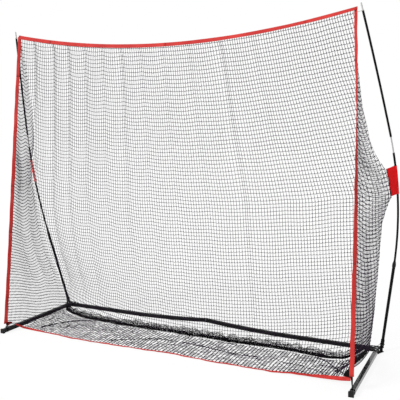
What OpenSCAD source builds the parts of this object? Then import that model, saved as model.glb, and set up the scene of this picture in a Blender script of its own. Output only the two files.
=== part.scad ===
// Bow-frame golf net: a folding square-tube base, two bent poles and a bagged net
// X runs along the rear bar, Y from the mouth of the net to its back, Z up

/* [Base] */
// Distance between the two feet, centre to centre
base_width = 2500; // [2300:10:2700]
// Reach of each foot in front of the rear bar
foot_reach = 800; // [740:10:860]
// Side of the square base tube
tube = 25; // [22:0.5:26]
// Wall of the square base tube
tube_wall = 1.5; // [1:0.1:2]
// Radius that the net's pull bends the middle of the rear bar to
bend_radius = 8180; // [8180:10:12000]

/* [Corner brackets] */
// Thickness of the bracket plates
plate = 2.5; // [2:0.1:3]
// Distance from the rear bar to the pivot of the foot
pivot_reach = 32; // [30:0.5:36]
// Radius from the pivot to the stop pin in its curved slot
stop_radius = 30; // [27:0.5:34]
// Diameter of the foot's pivot bolt
pivot_bolt_d = 8; // [6:0.5:8]
// Length of the pole socket
socket_length = 58; // [45:1:70]

/* [Poles] */
// Forward lean of the steel tube
pole_lean = 13.05; // [12:0.01:14]
// Outward splay of the steel tube
pole_splay = 7.76; // [7:0.01:9]
// Radius that the net's pull bends the lower rod to
lower_radius = 2769; // [2600:1:3000]
// Radius that the net's pull bends the upper rod to
upper_radius = 20540; // [12000:10:30000]
// Direction of the bend, turned from straight outwards
bow_azimuth = 200.2; // [195:0.1:205]
// Whole length of the pole
pole_length = 2225; // [2150:5:2260]
// Outside diameter of the steel tube
pole_tube_d = 18.8; // [18:0.1:19.4]
// Outside diameter of the black rod sleeves
rod_d = 12.7; // [11:0.1:13]
// Diameter of the bare fibreglass rod
core_d = 8.4; // [7:0.1:8.6]

/* [Net] */
// Height of the top hem at its two corners
hem_height = 2112; // [2080:1:2118]
// Sag of the top hem at its middle
hem_sag = 122; // [60:1:160]
// Width of the hem webbing
hem_width = 25; // [20:1:34]
// Width of the net's strands
strand = 9; // [6:0.5:14]
// Thickness of the net
net_thick = 4; // [3:0.5:5]
// Number of gaps across the back of the net
back_cols = 15; // [9:1:16]
// Number of gaps down the back of the net
back_rows = 11; // [7:1:12]
// Width of the red pole tabs
tab_reach = 52; // [36:1:56]
// Length of the red pole tabs along the pole
tab_length = 178; // [140:1:190]

/* [Hidden] */

LEFT = -1;
RIGHT = 1;
foot_x = base_width / 2;
back_reach = 24;
rear_y = (foot_reach - back_reach) / 2;   // the rear bar's place, so that the origin is mid-base

// Heights of the base: bottom plate, then the tubes, then the top plate
tube_z = plate + tube / 2;
plate_gap = tube + 0.6;
top_plate_z = plate + plate_gap;
plate_top = top_plate_z + plate;
foot_z = plate + plate_gap / 2;

// Rear bar: straight from the bracket, then bent up to the middle
bend_start = 700;
bend_angle = asin(bend_start / bend_radius);
bar_end = foot_x - tube / 2 - 4;
coupling_half = 75;
coupling_gap = 0.1;
coupling_side = tube - 2 * tube_wall - 2 * coupling_gap;
button_at = 45;
button_d = 7;

// Pole: where its axis stands on the bracket, and its stations from there
pole_out = 26;
pole_back = 11.4;
socket_floor = 3;
tube_top = 610;
bow_start = 608;
bow_end = 1475;
lower_sleeve_start = 584;
spigot_start = 1285;
lower_sleeve_end = 1345;
upper_sleeve_start = 1445;
spigot_end = 1505;
upper_sleeve_end = 2180;
tip_start = 2110;
tab_start = 1087;
tube_wall_pole = 1.2;
fit = 0.3;
slip = 0.2;
steel = 48;        // $fn of round parts
fine = 720;        // $fn of wide arcs

// Net: right-hand edge curves as height, then offset outwards from the foot or back from the bar
crest_x = [[45, -30], [200, -9], [500, 26], [800, 54], [900, 62], [1000, 75], [1085, 94], [1140, 88],
  [1200, 72], [1250, 53], [1300, 28], [1400, -12], [1600, -50], [1900, -68], [2120, -68]];
crest_y = [[45, -82], [300, -139], [500, -232], [700, -289], [900, -316], [1000, -310], [1100, -302],
  [1200, -323], [1300, -370], [1500, -429], [1800, -508], [2120, -592]];
roll_line = [[0, -262], [600, -268], [880, -262], [970, -290], [1060, -268], [1140, -192], [1212, -98]];
front_line = [[0, -634], [300, -644], [700, -652], [900, -648], [1000, -652], [1120, -682], [1226, -742]];
front_rise = [[0, 7], [930, 9], [1100, 28], [1226, 78]];
mouth_bottom = 90;
bag_bottom = 46;
side_cols = 2;
side_rows = 10;
floor_cols = 7;
floor_rows = 3;

module placed() { translate([0, rear_y, 0]) children(); }
module on_side(side) { placed() mirror([side < 0 ? 1 : 0, 0, 0]) children(); }

// ---- Closed sheets: a front and a back grid of points, with or without gaps ----

function mix(a, b, t) = a + (b - a) * t;
function in_cell(g, j, i, u, v) = mix(mix(g[j][i], g[j][i + 1], u), mix(g[j + 1][i], g[j + 1][i + 1], u), v);
function split(q) = [[q[0], q[1], q[2]], [q[0], q[2], q[3]]];
function flat(lists) = [for (l = lists) for (x = l) x];

module sheet(front, back, margin = [0, 0]) {
  rows = len(front) - 1;
  cols = len(front[0]) - 1;
  knots = (rows + 1) * (cols + 1);
  open = margin[0] > 0;
  corners = [[0, 0], [1, 0], [1, 1], [0, 1]];
  inset = [for (c = corners) [c[0] == 0 ? margin[0] : 1 - margin[0], c[1] == 0 ? margin[1] : 1 - margin[1]]];
  cells = [for (j = [0:rows - 1]) for (i = [0:cols - 1]) [j, i]];
  rims = [for (g = [front, back]) for (c = cells) for (k = inset) in_cell(g, c[0], c[1], k[0], k[1])];
  points = concat(flat(front), flat(back), open ? rims : []);
  function knot(side, j, i) = side * knots + j * (cols + 1) + i;
  function at(side, cell, c) = knot(side, cell[0] + corners[c % 4][1], cell[1] + corners[c % 4][0]);
  function rim(side, n, c) = 2 * knots + side * 4 * len(cells) + 4 * n + c % 4;
  faces_open = [for (n = [0:len(cells) - 1]) for (c = [0:3]) each concat(
    split([at(0, cells[n], c), rim(0, n, c), rim(0, n, c + 1), at(0, cells[n], c + 1)]),
    split([at(1, cells[n], c + 1), rim(1, n, c + 1), rim(1, n, c), at(1, cells[n], c)]),
    split([rim(0, n, c), rim(1, n, c), rim(1, n, c + 1), rim(0, n, c + 1)]))];
  faces_shut = [for (c = cells) each concat(
    split([at(0, c, 3), at(0, c, 2), at(0, c, 1), at(0, c, 0)]),
    split([at(1, c, 0), at(1, c, 1), at(1, c, 2), at(1, c, 3)]))];
  loop = concat([for (i = [0:cols - 1]) [0, i]], [for (j = [0:rows - 1]) [j, cols]],
    [for (i = [cols:-1:1]) [rows, i]], [for (j = [rows:-1:1]) [j, 0]]);
  walls = [for (n = [0:len(loop) - 1]) let (a = loop[n], b = loop[(n + 1) % len(loop)])
    each split([knot(0, a[0], a[1]), knot(0, b[0], b[1]), knot(1, b[0], b[1]), knot(1, a[0], a[1])])];
  polyhedron(points, concat(open ? faces_open : faces_shut, walls));
}

function shifted(grid, by) = [for (row = grid) [for (p = row) p + by]];

// A ribbon along a line of points; wide[n] is half its width and thick[n] half its thickness there
module ribbon(line, wide, thick) {
  front = [for (n = [0:len(line) - 1]) [line[n] - wide[n] + thick[n], line[n] + wide[n] + thick[n]]];
  back = [for (n = [0:len(line) - 1]) [line[n] - wide[n] - thick[n], line[n] + wide[n] - thick[n]]];
  sheet(front, back);
}

// A round or flattened rope along a line of points
module rope(line, half_width, half_height, sides) {
  last = len(line) - 1;
  function along(n) = let (d = line[min(n + 1, last)] - line[max(n - 1, 0)]) d / norm(d);
  function across(n) = let (t = along(n), a = cross(t, [0, 0, 1])) a / norm(a);
  rings = [for (n = [0:last]) let (a = across(n), b = cross(a, along(n))) [for (k = [0:sides - 1])
    line[n] + a * half_width[n] * cos(360 * k / sides) + b * half_height[n] * sin(360 * k / sides)]];
  walls = [for (n = [0:last - 1]) for (k = [0:sides - 1]) let (m = (k + 1) % sides)
    each split([n * sides + k, n * sides + m, (n + 1) * sides + m, (n + 1) * sides + k])];
  tail = last * sides;
  ends = [for (k = [1:sides - 2]) each [[0, k + 1, k], [tail, tail + k, tail + k + 1]]];
  polyhedron(flat(rings), concat(walls, ends));
}

// ---- Rear bar ----

module square_tube(side, wall) {
  difference() {
    square(side, center = true);
    square(side - 2 * wall, center = true);
  }
}

// Sweeps an outline along the bent stretch of the left-hand bar, between two angles
module bar_bend(from, to) {
  translate([-bend_start, 0, tube_z + bend_radius]) rotate([90, 0, 0]) rotate([0, 0, from - 90])
    rotate_extrude(angle = to - from, $fn = fine) translate([bend_radius, 0]) children();
}

// The bar's axis at the snap button, with Z square to the bar
module at_button() {
  translate([bend_start, 0, tube_z + bend_radius])
    rotate([0, asin((bend_start - button_at) / bend_radius), 0]) translate([0, 0, -bend_radius]) children();
}

module button_hole() {
  at_button() cylinder(h = tube, d = button_d + 0.1, $fn = steel);
}

// Half of the bar; the square-cut ends meet at the bottom, so the bend opens a gap on top
module rear_bar(side) {
  overhang = tube / 2 * sin(bend_angle) + 0.15;
  color("#1b1b1d") placed() difference() {
    mirror([side > 0 ? 1 : 0, 0, 0]) {
      translate([-bar_end, 0, tube_z]) rotate([90, 0, 90]) linear_extrude(bar_end - bend_start)
        square_tube(tube, tube_wall);
      bar_bend(0, asin((bend_start - overhang) / bend_radius)) square_tube(tube, tube_wall);
    }
    if (side == RIGHT) button_hole();
    for (x = bolt_places) translate([side * x, 0, 0])
      cylinder(h = 2 * tube, d = bracket_bolt_d + 0.2, $fn = steel);
  }
}

module bar_plug(side) {
  inner = tube - 2 * tube_wall;
  color("#6d6f73") on_side(side) translate([bar_end, 0, tube_z]) rotate([90, 0, 90]) {
    translate([0, 0, -5]) linear_extrude(5) square(inner, center = true);
    linear_extrude(2) square(tube - 1, center = true);
  }
}

// Inner sleeve that joins the two halves of the bar, bent like them
module bar_coupling() {
  color("#8d9095") placed() difference() {
    for (side = [LEFT, RIGHT]) mirror([side > 0 ? 1 : 0, 0, 0]) intersection() {
      bar_bend(asin((bend_start - coupling_half) / bend_radius), asin((bend_start + 4) / bend_radius))
        square_tube(coupling_side, tube_wall);
      translate([-200, -50, 0]) cube([200, 100, 100]);
    }
    button_hole();
  }
}

// Button that locks the coupling into the right half of the bar, with its flange inside the coupling
module bar_button() {
  head = tube / 2 + 2.5;
  flange = coupling_side / 2 - tube_wall - 0.3;
  color("#b9bcc0") placed() at_button() rotate_extrude($fn = steel)
    polygon([[0, flange - 1.4], [button_d / 2 + 1.5, flange - 1.4], [button_d / 2 + 1.5, flange],
      [button_d / 2, flange], [button_d / 2, head - 1.2], [button_d / 2 - 1.2, head], [0, head]]);
}

// Leaf spring folded back on itself inside the coupling, pressing the button up
module bar_button_spring() {
  top = coupling_side / 2 - tube_wall - 1.8;
  low = 0.15 - coupling_side / 2 + tube_wall;
  color("#c9ccd0") placed() at_button() rotate([90, 0, 0]) linear_extrude(8, center = true)
    polygon([[5, top], [-5, top], [-29, low + 2.4], [-30.4, low + 1.4], [-29.6, low], [8, low],
      [8, low + 0.9], [-28.4, low + 0.9], [-28.6, low + 1.5], [-4.6, top - 0.9], [5, top - 0.9]]);
}

// ---- Corner bracket: two plates that hold the bar's end and the foot's pivot ----

bracket_bolt_d = 6;
bolt_places = [foot_x - 58, foot_x - 26];
bracket_length = 74;
sector_rim = 10;

// Plan of a plate; the top one also has the sector that carries the stop slot
module bracket_outline(sector) {
  boss = 20;
  difference() {
    translate([foot_x, 0]) {
      polygon([[-bracket_length, -tube / 2], [-boss, -tube / 2], [-boss, -pivot_reach],
        [boss, -pivot_reach], [pole_out + 14, back_reach - 14], [pole_out, back_reach],
        [-boss, back_reach], [-bracket_length, tube / 2 + 2.2]]);
      translate([pole_out, back_reach - 14]) circle(14, $fn = steel);
      translate([0, -pivot_reach]) circle(boss, $fn = steel);
      if (sector) translate([0, -pivot_reach]) {
        intersection() {
          circle(stop_radius + sector_rim, $fn = steel * 2);
          rotate(180) square(2 * stop_radius);
        }
        translate([0, -stop_radius]) circle(sector_rim, $fn = steel);
      }
    }
    translate([foot_x, -pivot_reach]) circle(pivot_bolt_d / 2 + 0.08, $fn = steel);
    for (x = bolt_places) translate([x, 0]) circle(bracket_bolt_d / 2 + 0.1, $fn = steel);
    if (sector) stop_slot();
  }
}

// Curved slot that the foot's stop pin runs in, a quarter turn long
module stop_slot() {
  half = stop_pin_d / 2 + 0.4;
  translate([foot_x, -pivot_reach]) {
    intersection() {
      difference() {
        circle(stop_radius + half, $fn = steel * 2);
        circle(stop_radius - half, $fn = steel * 2);
      }
      rotate(180) square(2 * stop_radius);
    }
    for (end = [180, 270]) rotate(end) translate([stop_radius, 0]) circle(half, $fn = steel);
  }
}

stop_pin_d = 6;

module corner_bracket(side) {
  web = 2;
  color("#232326") on_side(side) {
    linear_extrude(plate) bracket_outline(false);
    translate([0, 0, top_plate_z]) linear_extrude(plate) bracket_outline(true);
    translate([foot_x - bracket_length, tube / 2 + 0.2, plate]) cube([bracket_length + 8, web, plate_gap]);
  }
}

// Bolts that pass down through the bracket and the bar, each with its nut
module bracket_bolts(side) {
  color("#9a9da1") on_side(side) for (x = bolt_places) translate([x, 0, 0]) {
    cylinder(h = plate_top, d = bracket_bolt_d, $fn = steel);
    translate([0, 0, plate_top]) rotate_extrude($fn = steel)
      polygon([[0, 0], [5.6, 0], [5, 1.6], [3.2, 2.9], [0, 3.3]]);
  }
}

module pivot_bolt(side) {
  color("#9a9da1") on_side(side) translate([foot_x, -pivot_reach, 0]) {
    translate([0, 0, 0.4]) cylinder(h = plate_top + 8, d = pivot_bolt_d, $fn = steel);
    translate([0, 0, plate_top]) cylinder(h = 1.4, d = 2 * pivot_bolt_d, $fn = steel);
    translate([0, 0, plate_top + 1.4]) cylinder(h = 6, d = 1.8 * pivot_bolt_d, $fn = 6);
  }
}

// Spacer that carries the pole's load from the top plate to the bottom one
module plate_spacer(side) {
  color("#1b1b1d") on_side(side) translate([foot_x + pole_out - 2, back_reach - 14, plate])
    cylinder(h = plate_gap, d = 18, $fn = steel);
}

// ---- Feet ----

module foot(side) {
  rear = -pivot_reach + 12;
  color("#2a2a2d") on_side(side) difference() {
    translate([foot_x, rear, foot_z]) rotate([90, 0, 0])
      linear_extrude(foot_reach + rear - cap_wall) square_tube(tube, tube_wall);
    translate([foot_x, -pivot_reach, 0]) cylinder(h = 2 * tube, d = pivot_bolt_d + 0.16, $fn = steel);
    translate([foot_x, -pivot_reach - stop_radius, foot_z])
      cylinder(h = tube, d = stop_pin_d + 0.1, $fn = steel);
  }
}

cap_wall = 2.8;
cap_length = 18;

module foot_cap(side) {
  outer = 2 * foot_z;
  color("#0f0f10") on_side(side) translate([foot_x, -foot_reach, foot_z]) rotate([-90, 0, 0]) difference() {
    hull() {
      translate([0, 0, 3]) linear_extrude(cap_length - 3) square(outer, center = true);
      linear_extrude(cap_length) square(outer - 4, center = true);
    }
    translate([0, 0, cap_wall]) linear_extrude(cap_length) square(tube + 0.04, center = true);
  }
}

module foot_stop_pin(side) {
  color("#b9bcc0") on_side(side) translate([foot_x, -pivot_reach - stop_radius, 0]) {
    translate([0, 0, foot_z]) cylinder(h = plate_top - foot_z + 3, d = stop_pin_d, $fn = steel);
    translate([0, 0, foot_z + tube / 2 - tube_wall - 2]) cylinder(h = 2, d = stop_pin_d + 4, $fn = steel);
    translate([0, 0, plate_top + 0.3]) cylinder(h = 2.7, d = stop_pin_d + 5, $fn = steel);
  }
}

module foot_rear_plug(side) {
  inner = tube - 2 * tube_wall;
  color("#0f0f10") on_side(side) translate([foot_x, -pivot_reach + 12, foot_z]) rotate([90, 0, 0]) {
    translate([0, 0, -1.5]) linear_extrude(1.5) square(tube - 1, center = true);
    linear_extrude(6) square(inner, center = true);
  }
}

// Elastic loop round the foot's front end that holds the net's lower corner
module corner_strap(side) {
  width = 12;
  strap_set = 42;
  thick = 1.6;
  ring = tube + 0.6;
  color("#101012") on_side(side) translate([foot_x, -foot_reach + strap_set + width, foot_z])
    rotate([90, 0, 0]) linear_extrude(width) {
      difference() {
        square(ring + 2 * thick, center = true);
        square(ring, center = true);
      }
      translate([-1.3, ring / 2 + thick]) square([2.6, mouth_bottom - foot_z - ring / 2 - thick - 18]);
    }
}

// ---- Poles ----

// The steel tube's frame: Z up the tube, X towards the side that the rods bend to
module pole_root() {
  translate([foot_x + pole_out, pole_back, plate_top]) rotate([pole_lean, pole_splay, 0])
    rotate([0, 0, bow_azimuth]) children();
}

// Moves children along an arc that starts up Z and bends towards X
module along_arc(radius, length) {
  turn = length / radius * 180 / PI;
  translate([radius * (1 - cos(turn)), 0, radius * sin(turn)]) rotate([0, turn, 0]) children();
}

// Sweeps an outline along such an arc from one length to another
module swept(radius, from, to) {
  deg = 180 / PI / radius;
  translate([radius, 0, 0]) rotate([90, 0, 0]) rotate([0, 0, 180 - to * deg])
    rotate_extrude(angle = (to - from) * deg, $fn = fine) translate([radius, 0]) children();
}

module lower_bow() { pole_root() translate([0, 0, bow_start]) children(); }
module upper_bow() { lower_bow() along_arc(lower_radius, bow_end - bow_start) children(); }

// Moves children to a distance up the pole
module at_pole(s) {
  if (s < bow_start) pole_root() translate([0, 0, s]) children();
  else if (s < bow_end) lower_bow() along_arc(lower_radius, s - bow_start) children();
  else upper_bow() along_arc(upper_radius, s - bow_end) children();
}

module ring(outer, inner) {
  difference() {
    circle(d = outer, $fn = steel);
    circle(d = inner, $fn = steel);
  }
}

module lower_run(from, to) { lower_bow() swept(lower_radius, from - bow_start, to - bow_start) children(); }
module upper_run(from, to) { upper_bow() swept(upper_radius, from - bow_end, to - bow_end) children(); }

module pole_socket(side) {
  bore = pole_tube_d + 2 * fit;
  color("#232326") on_side(side) difference() {
    pole_root() translate([0, 0, -12]) cylinder(h = socket_length + 12, d = bore + 4.6, $fn = steel);
    pole_root() translate([0, 0, socket_floor]) cylinder(h = 2 * socket_length, d = bore, $fn = steel);
    translate([foot_x - 40, -60, plate_top - 40]) cube([120, 120, 40]);
  }
}

module pole_tube(side) {
  color("#1b1b1d") on_side(side) at_pole(socket_floor + 0.2) linear_extrude(tube_top - socket_floor - 0.2)
    ring(pole_tube_d, pole_tube_d - 2 * tube_wall_pole);
}

// Moulded collar: a bush inside the steel tube, a skirt over it and a taper up to the rod
module pole_collar(side) {
  bush = pole_tube_d / 2 - tube_wall_pole - 0.05;
  skirt = pole_tube_d / 2 + 0.05;
  bore = rod_d / 2 + slip;
  color("#101012") on_side(side) pole_root() translate([0, 0, tube_top]) rotate_extrude($fn = steel)
    polygon([[bore, -28], [bush, -28], [bush, 0.2], [skirt, 0.2], [skirt, -14], [skirt + 1.9, -14],
      [skirt + 1.9, 4], [bore + 1.4, 22], [bore, 22]]);
}

module lower_rod_sleeve(side) {
  color("#19191b") on_side(side) 
    lower_run(lower_sleeve_start, lower_sleeve_end) ring(rod_d, core_d + 2 * slip);
}

module rod_spigot(side) {
  color("#d8d8d2") on_side(side) 
    lower_run(spigot_start, spigot_end) circle(d = core_d, $fn = steel);
}

module upper_rod_sleeve(side) {
  color("#19191b") on_side(side) 
    upper_run(upper_sleeve_start, upper_sleeve_end) ring(rod_d, core_d + 2 * slip);
}

module rod_tip(side) {
  dome = 3;
  length = pole_length - tip_start;
  round_end = [for (a = [0:15:90]) [core_d / 2 - dome + dome * cos(a), length - dome + dome * sin(a)]];
  color("#e4e4de") on_side(side) at_pole(tip_start) rotate_extrude($fn = steel)
    polygon(concat([[0, 0], [core_d / 2, 0]], round_end, [[0, length]]));
}

// Red sleeve that grips the pole, with the flap that pulls the net out to it
module pole_tab(side) {
  bore = rod_d + 2 * fit;
  thick = 2.4;
  tuck = 12;
  color("#e01318") on_side(side) {
    lower_run(tab_start, tab_start + tab_length) ring(bore + 2 * thick, bore);
    at_pole(tab_start + tab_length / 2) rotate([0, 0, tab_turn]) rotate([90, 0, 0])
      linear_extrude(thick, center = true) polygon([
        [bore / 2 + 1.3, 5 - tab_length / 2], [tab_reach, -tab_length / 2],
        [tab_reach, tab_length / 2 - tuck], [bore / 2 + 1.3, tab_length / 2 - 5]]);
  }
}

tab_turn = 30;

// Loop of pale elastic cord round the rod's tip, on the sleeve's shoulder: it carries the net's corner
module top_loop(side) {
  cord = 2.4;
  leg = (core_d + 1 + cord) / 2;
  length = 24;
  color("#dcdcd6") on_side(side) at_pole(upper_sleeve_end + 0.3) translate([0, 0, cord / 2 + 0.2]) {
    rotate([0, 0, 90]) rotate_extrude(angle = 180, $fn = steel) translate([leg, 0]) circle(cord / 2, $fn = 16);
    for (y = [-leg, leg]) translate([0, y, 0]) rotate([0, 90, 0]) cylinder(h = length, d = cord, $fn = 16);
    translate([length, 0, 0]) rotate([0, 0, -90]) rotate_extrude(angle = 180, $fn = steel)
      translate([leg, 0]) circle(cord / 2, $fn = 16);
  }
}

// ---- Net ----

// Right-hand rear edge of the bag, at a height
function crest(z) = [foot_x + lookup(z, crest_x), lookup(z, crest_y), z];

// Right-hand edge of the mouth, at a height, where the side hem hangs
function mouth(z) = let (bow = sin(180 * z / hem_height))
  [foot_x + 2 - 0.033 * z + 5 * bow, -770 + 0.0815 * z + 15 * bow, z];

// Top hem: the lower edge hangs in a shallow curve
function hem_z(x) = hem_height - hem_sag * (1 - pow(x / (foot_x - 67), 2));
hem_y = -598;

// Back of the net: rows sag between the two rear edges and lean forwards in the middle
function back_point(u, v) =
  let (edge_z = mix(hem_height - hem_width / 2 - 3, bag_bottom, v), edge = crest(edge_z), off = 2 * u - 1,
    mid_z = mix(hem_height - hem_sag - hem_width / 2 - 3, bag_bottom, v),
    mid_y = mix(hem_y, roll_line[0][1], v) + 22 * sin(180 * v), ends = pow(abs(off), 2.2))
  [off * (edge[0] - 8), mix(mid_y, v == 1 ? lookup(abs(off) * 1212, roll_line) : edge[1], v == 1 ? 1 : ends),
    mix(mid_z, edge_z, off * off)];

module net_back() {
  grid = [for (j = [0:back_rows]) [for (i = [0:back_cols]) back_point(i / back_cols, 1 - j / back_rows)]];
  pitch = [2 * foot_x / back_cols, hem_height / back_rows];
  half = [0, net_thick / 2, 0];
  margin = [strand / 2 / pitch[0], strand / 2 / pitch[1]];
  color("#3a3a3e") placed() sheet(shifted(grid, -half), shifted(grid, half), margin);
}

// Side of the net: each row hangs between the mouth and the rear edge
function side_point(u, v) =
  let (front = mouth(mix(hem_height - 110, mouth_bottom + 12, v)),
    rear = crest(mix(hem_height - 110, bag_bottom + 4, v)), span = norm(rear - front))
  mix(front, rear, mix(16 / span, 1 - 6 / span, u)) + [0, 0, -38 * sin(180 * u) * sin(180 * v)];

module net_side(side) {
  grid = [for (j = [0:side_rows]) [for (i = [0:side_cols]) side_point(i / side_cols, 1 - j / side_rows)]];
  inner = [-net_thick - 2.6, 0, 0];
  outer = [-2.6, 0, 0];
  color("#3a3a3e") on_side(side)
    sheet(shifted(grid, outer), shifted(grid, inner), [strand / 2 / 180, strand / 2 / 190]);
}

// Floor of the net, from the roll at the back to the bottom hem, rising to the corner
function floor_point(x, v) = [x, mix(lookup(x, roll_line) - 26, lookup(x, front_line) + 6, v),
  2.5 + net_thick / 2 + v * v * (lookup(x, front_rise) - 7)];

module net_floor(side) {
  reach = foot_x - 40;
  grid = [for (j = [0:floor_rows]) [for (i = [0:floor_cols])
    floor_point(mix(2, reach, i / floor_cols), 1 - j / floor_rows)]];
  half = [0, 0, net_thick / 2];
  color("#35353a") on_side(side)
    sheet(shifted(grid, half), shifted(grid, -half), [strand / 2 / 170, strand / 2 / 130]);
}

// Slack net bunched into a roll along the foot of the back panel
module net_roll(side) {
  steps = 18;
  reach = 1206;
  xs = [for (n = [0:steps]) mix(1.5, reach, n / steps)];
  line = [for (x = xs) [x, lookup(x, roll_line), 20 + 1.5 * sin(7 * x / 10)]];
  wide = [for (n = [0:steps]) 18 + 3 * sin(n * 105) - 8 * pow(n / steps, 6)];
  high = [for (n = [0:steps]) 17 + 1.5 * cos(n * 80) - 5 * pow(n / steps, 6)];
  color("#26262a") on_side(side) rope(line, wide, high, 10);
}

// ---- Hems and ties ----

hem_thick = 2.4;

module hem_top() {
  steps = 28;
  reach = foot_x - 72;
  line = [for (n = [0:steps]) let (x = mix(-reach, reach, n / steps)) [x, hem_y, hem_z(x)]];
  wide = [for (p = line) [0, 0, hem_width / 2]];
  thick = [for (p = line) [0, -hem_thick / 2, 0]];
  color("#d8413e") placed() ribbon(line, wide, thick);
}

// Side hem: it faces forwards at the bottom and twists until it faces backwards near the top
module hem_side(side) {
  steps = 16;
  line = [for (n = [0:steps]) mouth(mix(mouth_bottom, hem_height - 28, n / steps))];
  turn = [for (n = [0:steps]) 12 + 133 * pow(n / steps, 1.2)];
  wide = [for (a = turn) hem_width / 2 * [cos(a), sin(a), 0]];
  thick = [for (a = turn) hem_thick / 2 * [sin(a), -cos(a), 0]];
  color("#d8413e") on_side(side) ribbon(line, wide, thick);
}

// Bottom hem: it lies nearly flat along the ground and lifts to the corner
module hem_bottom(side) {
  steps = 16;
  reach = foot_x - 30;
  xs = [for (n = [0:steps]) mix(1, reach, n / steps)];
  tilt = [for (n = [0:steps]) 12 + 8 * sin(n * 75) + 36 * pow(n / steps, 4)];
  line = [for (n = [0:steps]) let (x = xs[n])
    [x, lookup(x, front_line) - 12, lookup(x, front_rise) - 5.5 + hem_width / 2 * sin(tilt[n])]];
  wide = [for (a = tilt) hem_width / 2 * [0, cos(a), sin(a)]];
  thick = [for (a = tilt) hem_thick / 2 * [0, sin(a), -cos(a)]];
  color("#d8413e") on_side(side) ribbon(line, wide, thick);
}

// Black triangular patch sewn into the net's lower corner
module corner_patch(side) {
  color("#101012") on_side(side) translate(mouth(mouth_bottom) + [-38, 10, 16]) rotate([90, 0, 0])
    linear_extrude(2) polygon([[0, 0], [28, 0], [28, 50]]);
}

// Thin cord round the pole socket that holds the net's rear corner back
module rear_tie(side) {
  half = 1.5;
  loop = pole_tube_d / 2 + fit + 2.3 + half + 0.2;
  top = [foot_x + pole_out - 8, pole_back - 13.6, plate_top + 22.8];
  low = crest(bag_bottom) + [3, 12, 2];
  line = [top, mix(top, low, 0.3) - [0, 0, 3], mix(top, low, 0.65) - [0, 0, 4], low];
  color("#4a4a4c") on_side(side) {
    pole_root() translate([0, 0, 24]) rotate_extrude($fn = steel) translate([loop, 0])
      circle(half, $fn = 16);
    rope(line, [half, half, half, half], [half, half, half, half], 8);
  }
}

rear_bar(LEFT);  // rear_bar_left
rear_bar(RIGHT);  // rear_bar_right
bar_plug(LEFT);  // bar_plug_left
bar_plug(RIGHT);  // bar_plug_right
bar_coupling();
bar_button();
bar_button_spring();
corner_bracket(LEFT);  // corner_bracket_left
corner_bracket(RIGHT);  // corner_bracket_right
bracket_bolts(LEFT);  // bracket_bolts_left
bracket_bolts(RIGHT);  // bracket_bolts_right
pole_socket(LEFT);  // pole_socket_left
pole_socket(RIGHT);  // pole_socket_right
pivot_bolt(LEFT);  // pivot_bolt_left
pivot_bolt(RIGHT);  // pivot_bolt_right
plate_spacer(LEFT);  // plate_spacer_left
plate_spacer(RIGHT);  // plate_spacer_right
foot(LEFT);  // foot_left
foot(RIGHT);  // foot_right
foot_stop_pin(LEFT);  // foot_stop_pin_left
foot_stop_pin(RIGHT);  // foot_stop_pin_right
foot_cap(LEFT);  // foot_cap_left
foot_cap(RIGHT);  // foot_cap_right
foot_rear_plug(LEFT);  // foot_rear_plug_left
foot_rear_plug(RIGHT);  // foot_rear_plug_right
corner_strap(LEFT);  // corner_strap_left
corner_strap(RIGHT);  // corner_strap_right
pole_tube(LEFT);  // pole_tube_left
pole_tube(RIGHT);  // pole_tube_right
pole_collar(LEFT);  // pole_collar_left
pole_collar(RIGHT);  // pole_collar_right
lower_rod_sleeve(LEFT);  // lower_rod_sleeve_left
lower_rod_sleeve(RIGHT);  // lower_rod_sleeve_right
rod_spigot(LEFT);  // rod_spigot_left
rod_spigot(RIGHT);  // rod_spigot_right
upper_rod_sleeve(LEFT);  // upper_rod_sleeve_left
upper_rod_sleeve(RIGHT);  // upper_rod_sleeve_right
rod_tip(LEFT);  // rod_tip_left
rod_tip(RIGHT);  // rod_tip_right
pole_tab(LEFT);  // pole_tab_left
pole_tab(RIGHT);  // pole_tab_right
top_loop(LEFT);  // top_loop_left
top_loop(RIGHT);  // top_loop_right
net_back();
net_side(LEFT);  // net_side_left
net_side(RIGHT);  // net_side_right
net_floor(LEFT);  // net_floor_left
net_floor(RIGHT);  // net_floor_right
net_roll(LEFT);  // net_roll_left
net_roll(RIGHT);  // net_roll_right
hem_top();
hem_side(LEFT);  // hem_side_left
hem_side(RIGHT);  // hem_side_right
hem_bottom(LEFT);  // hem_bottom_left
hem_bottom(RIGHT);  // hem_bottom_right
corner_patch(LEFT);  // corner_patch_left
corner_patch(RIGHT);  // corner_patch_right
rear_tie(LEFT);  // rear_tie_left
rear_tie(RIGHT);  // rear_tie_right
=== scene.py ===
import math

import bpy
import numpy as np
from mathutils import Matrix, Vector


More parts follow.
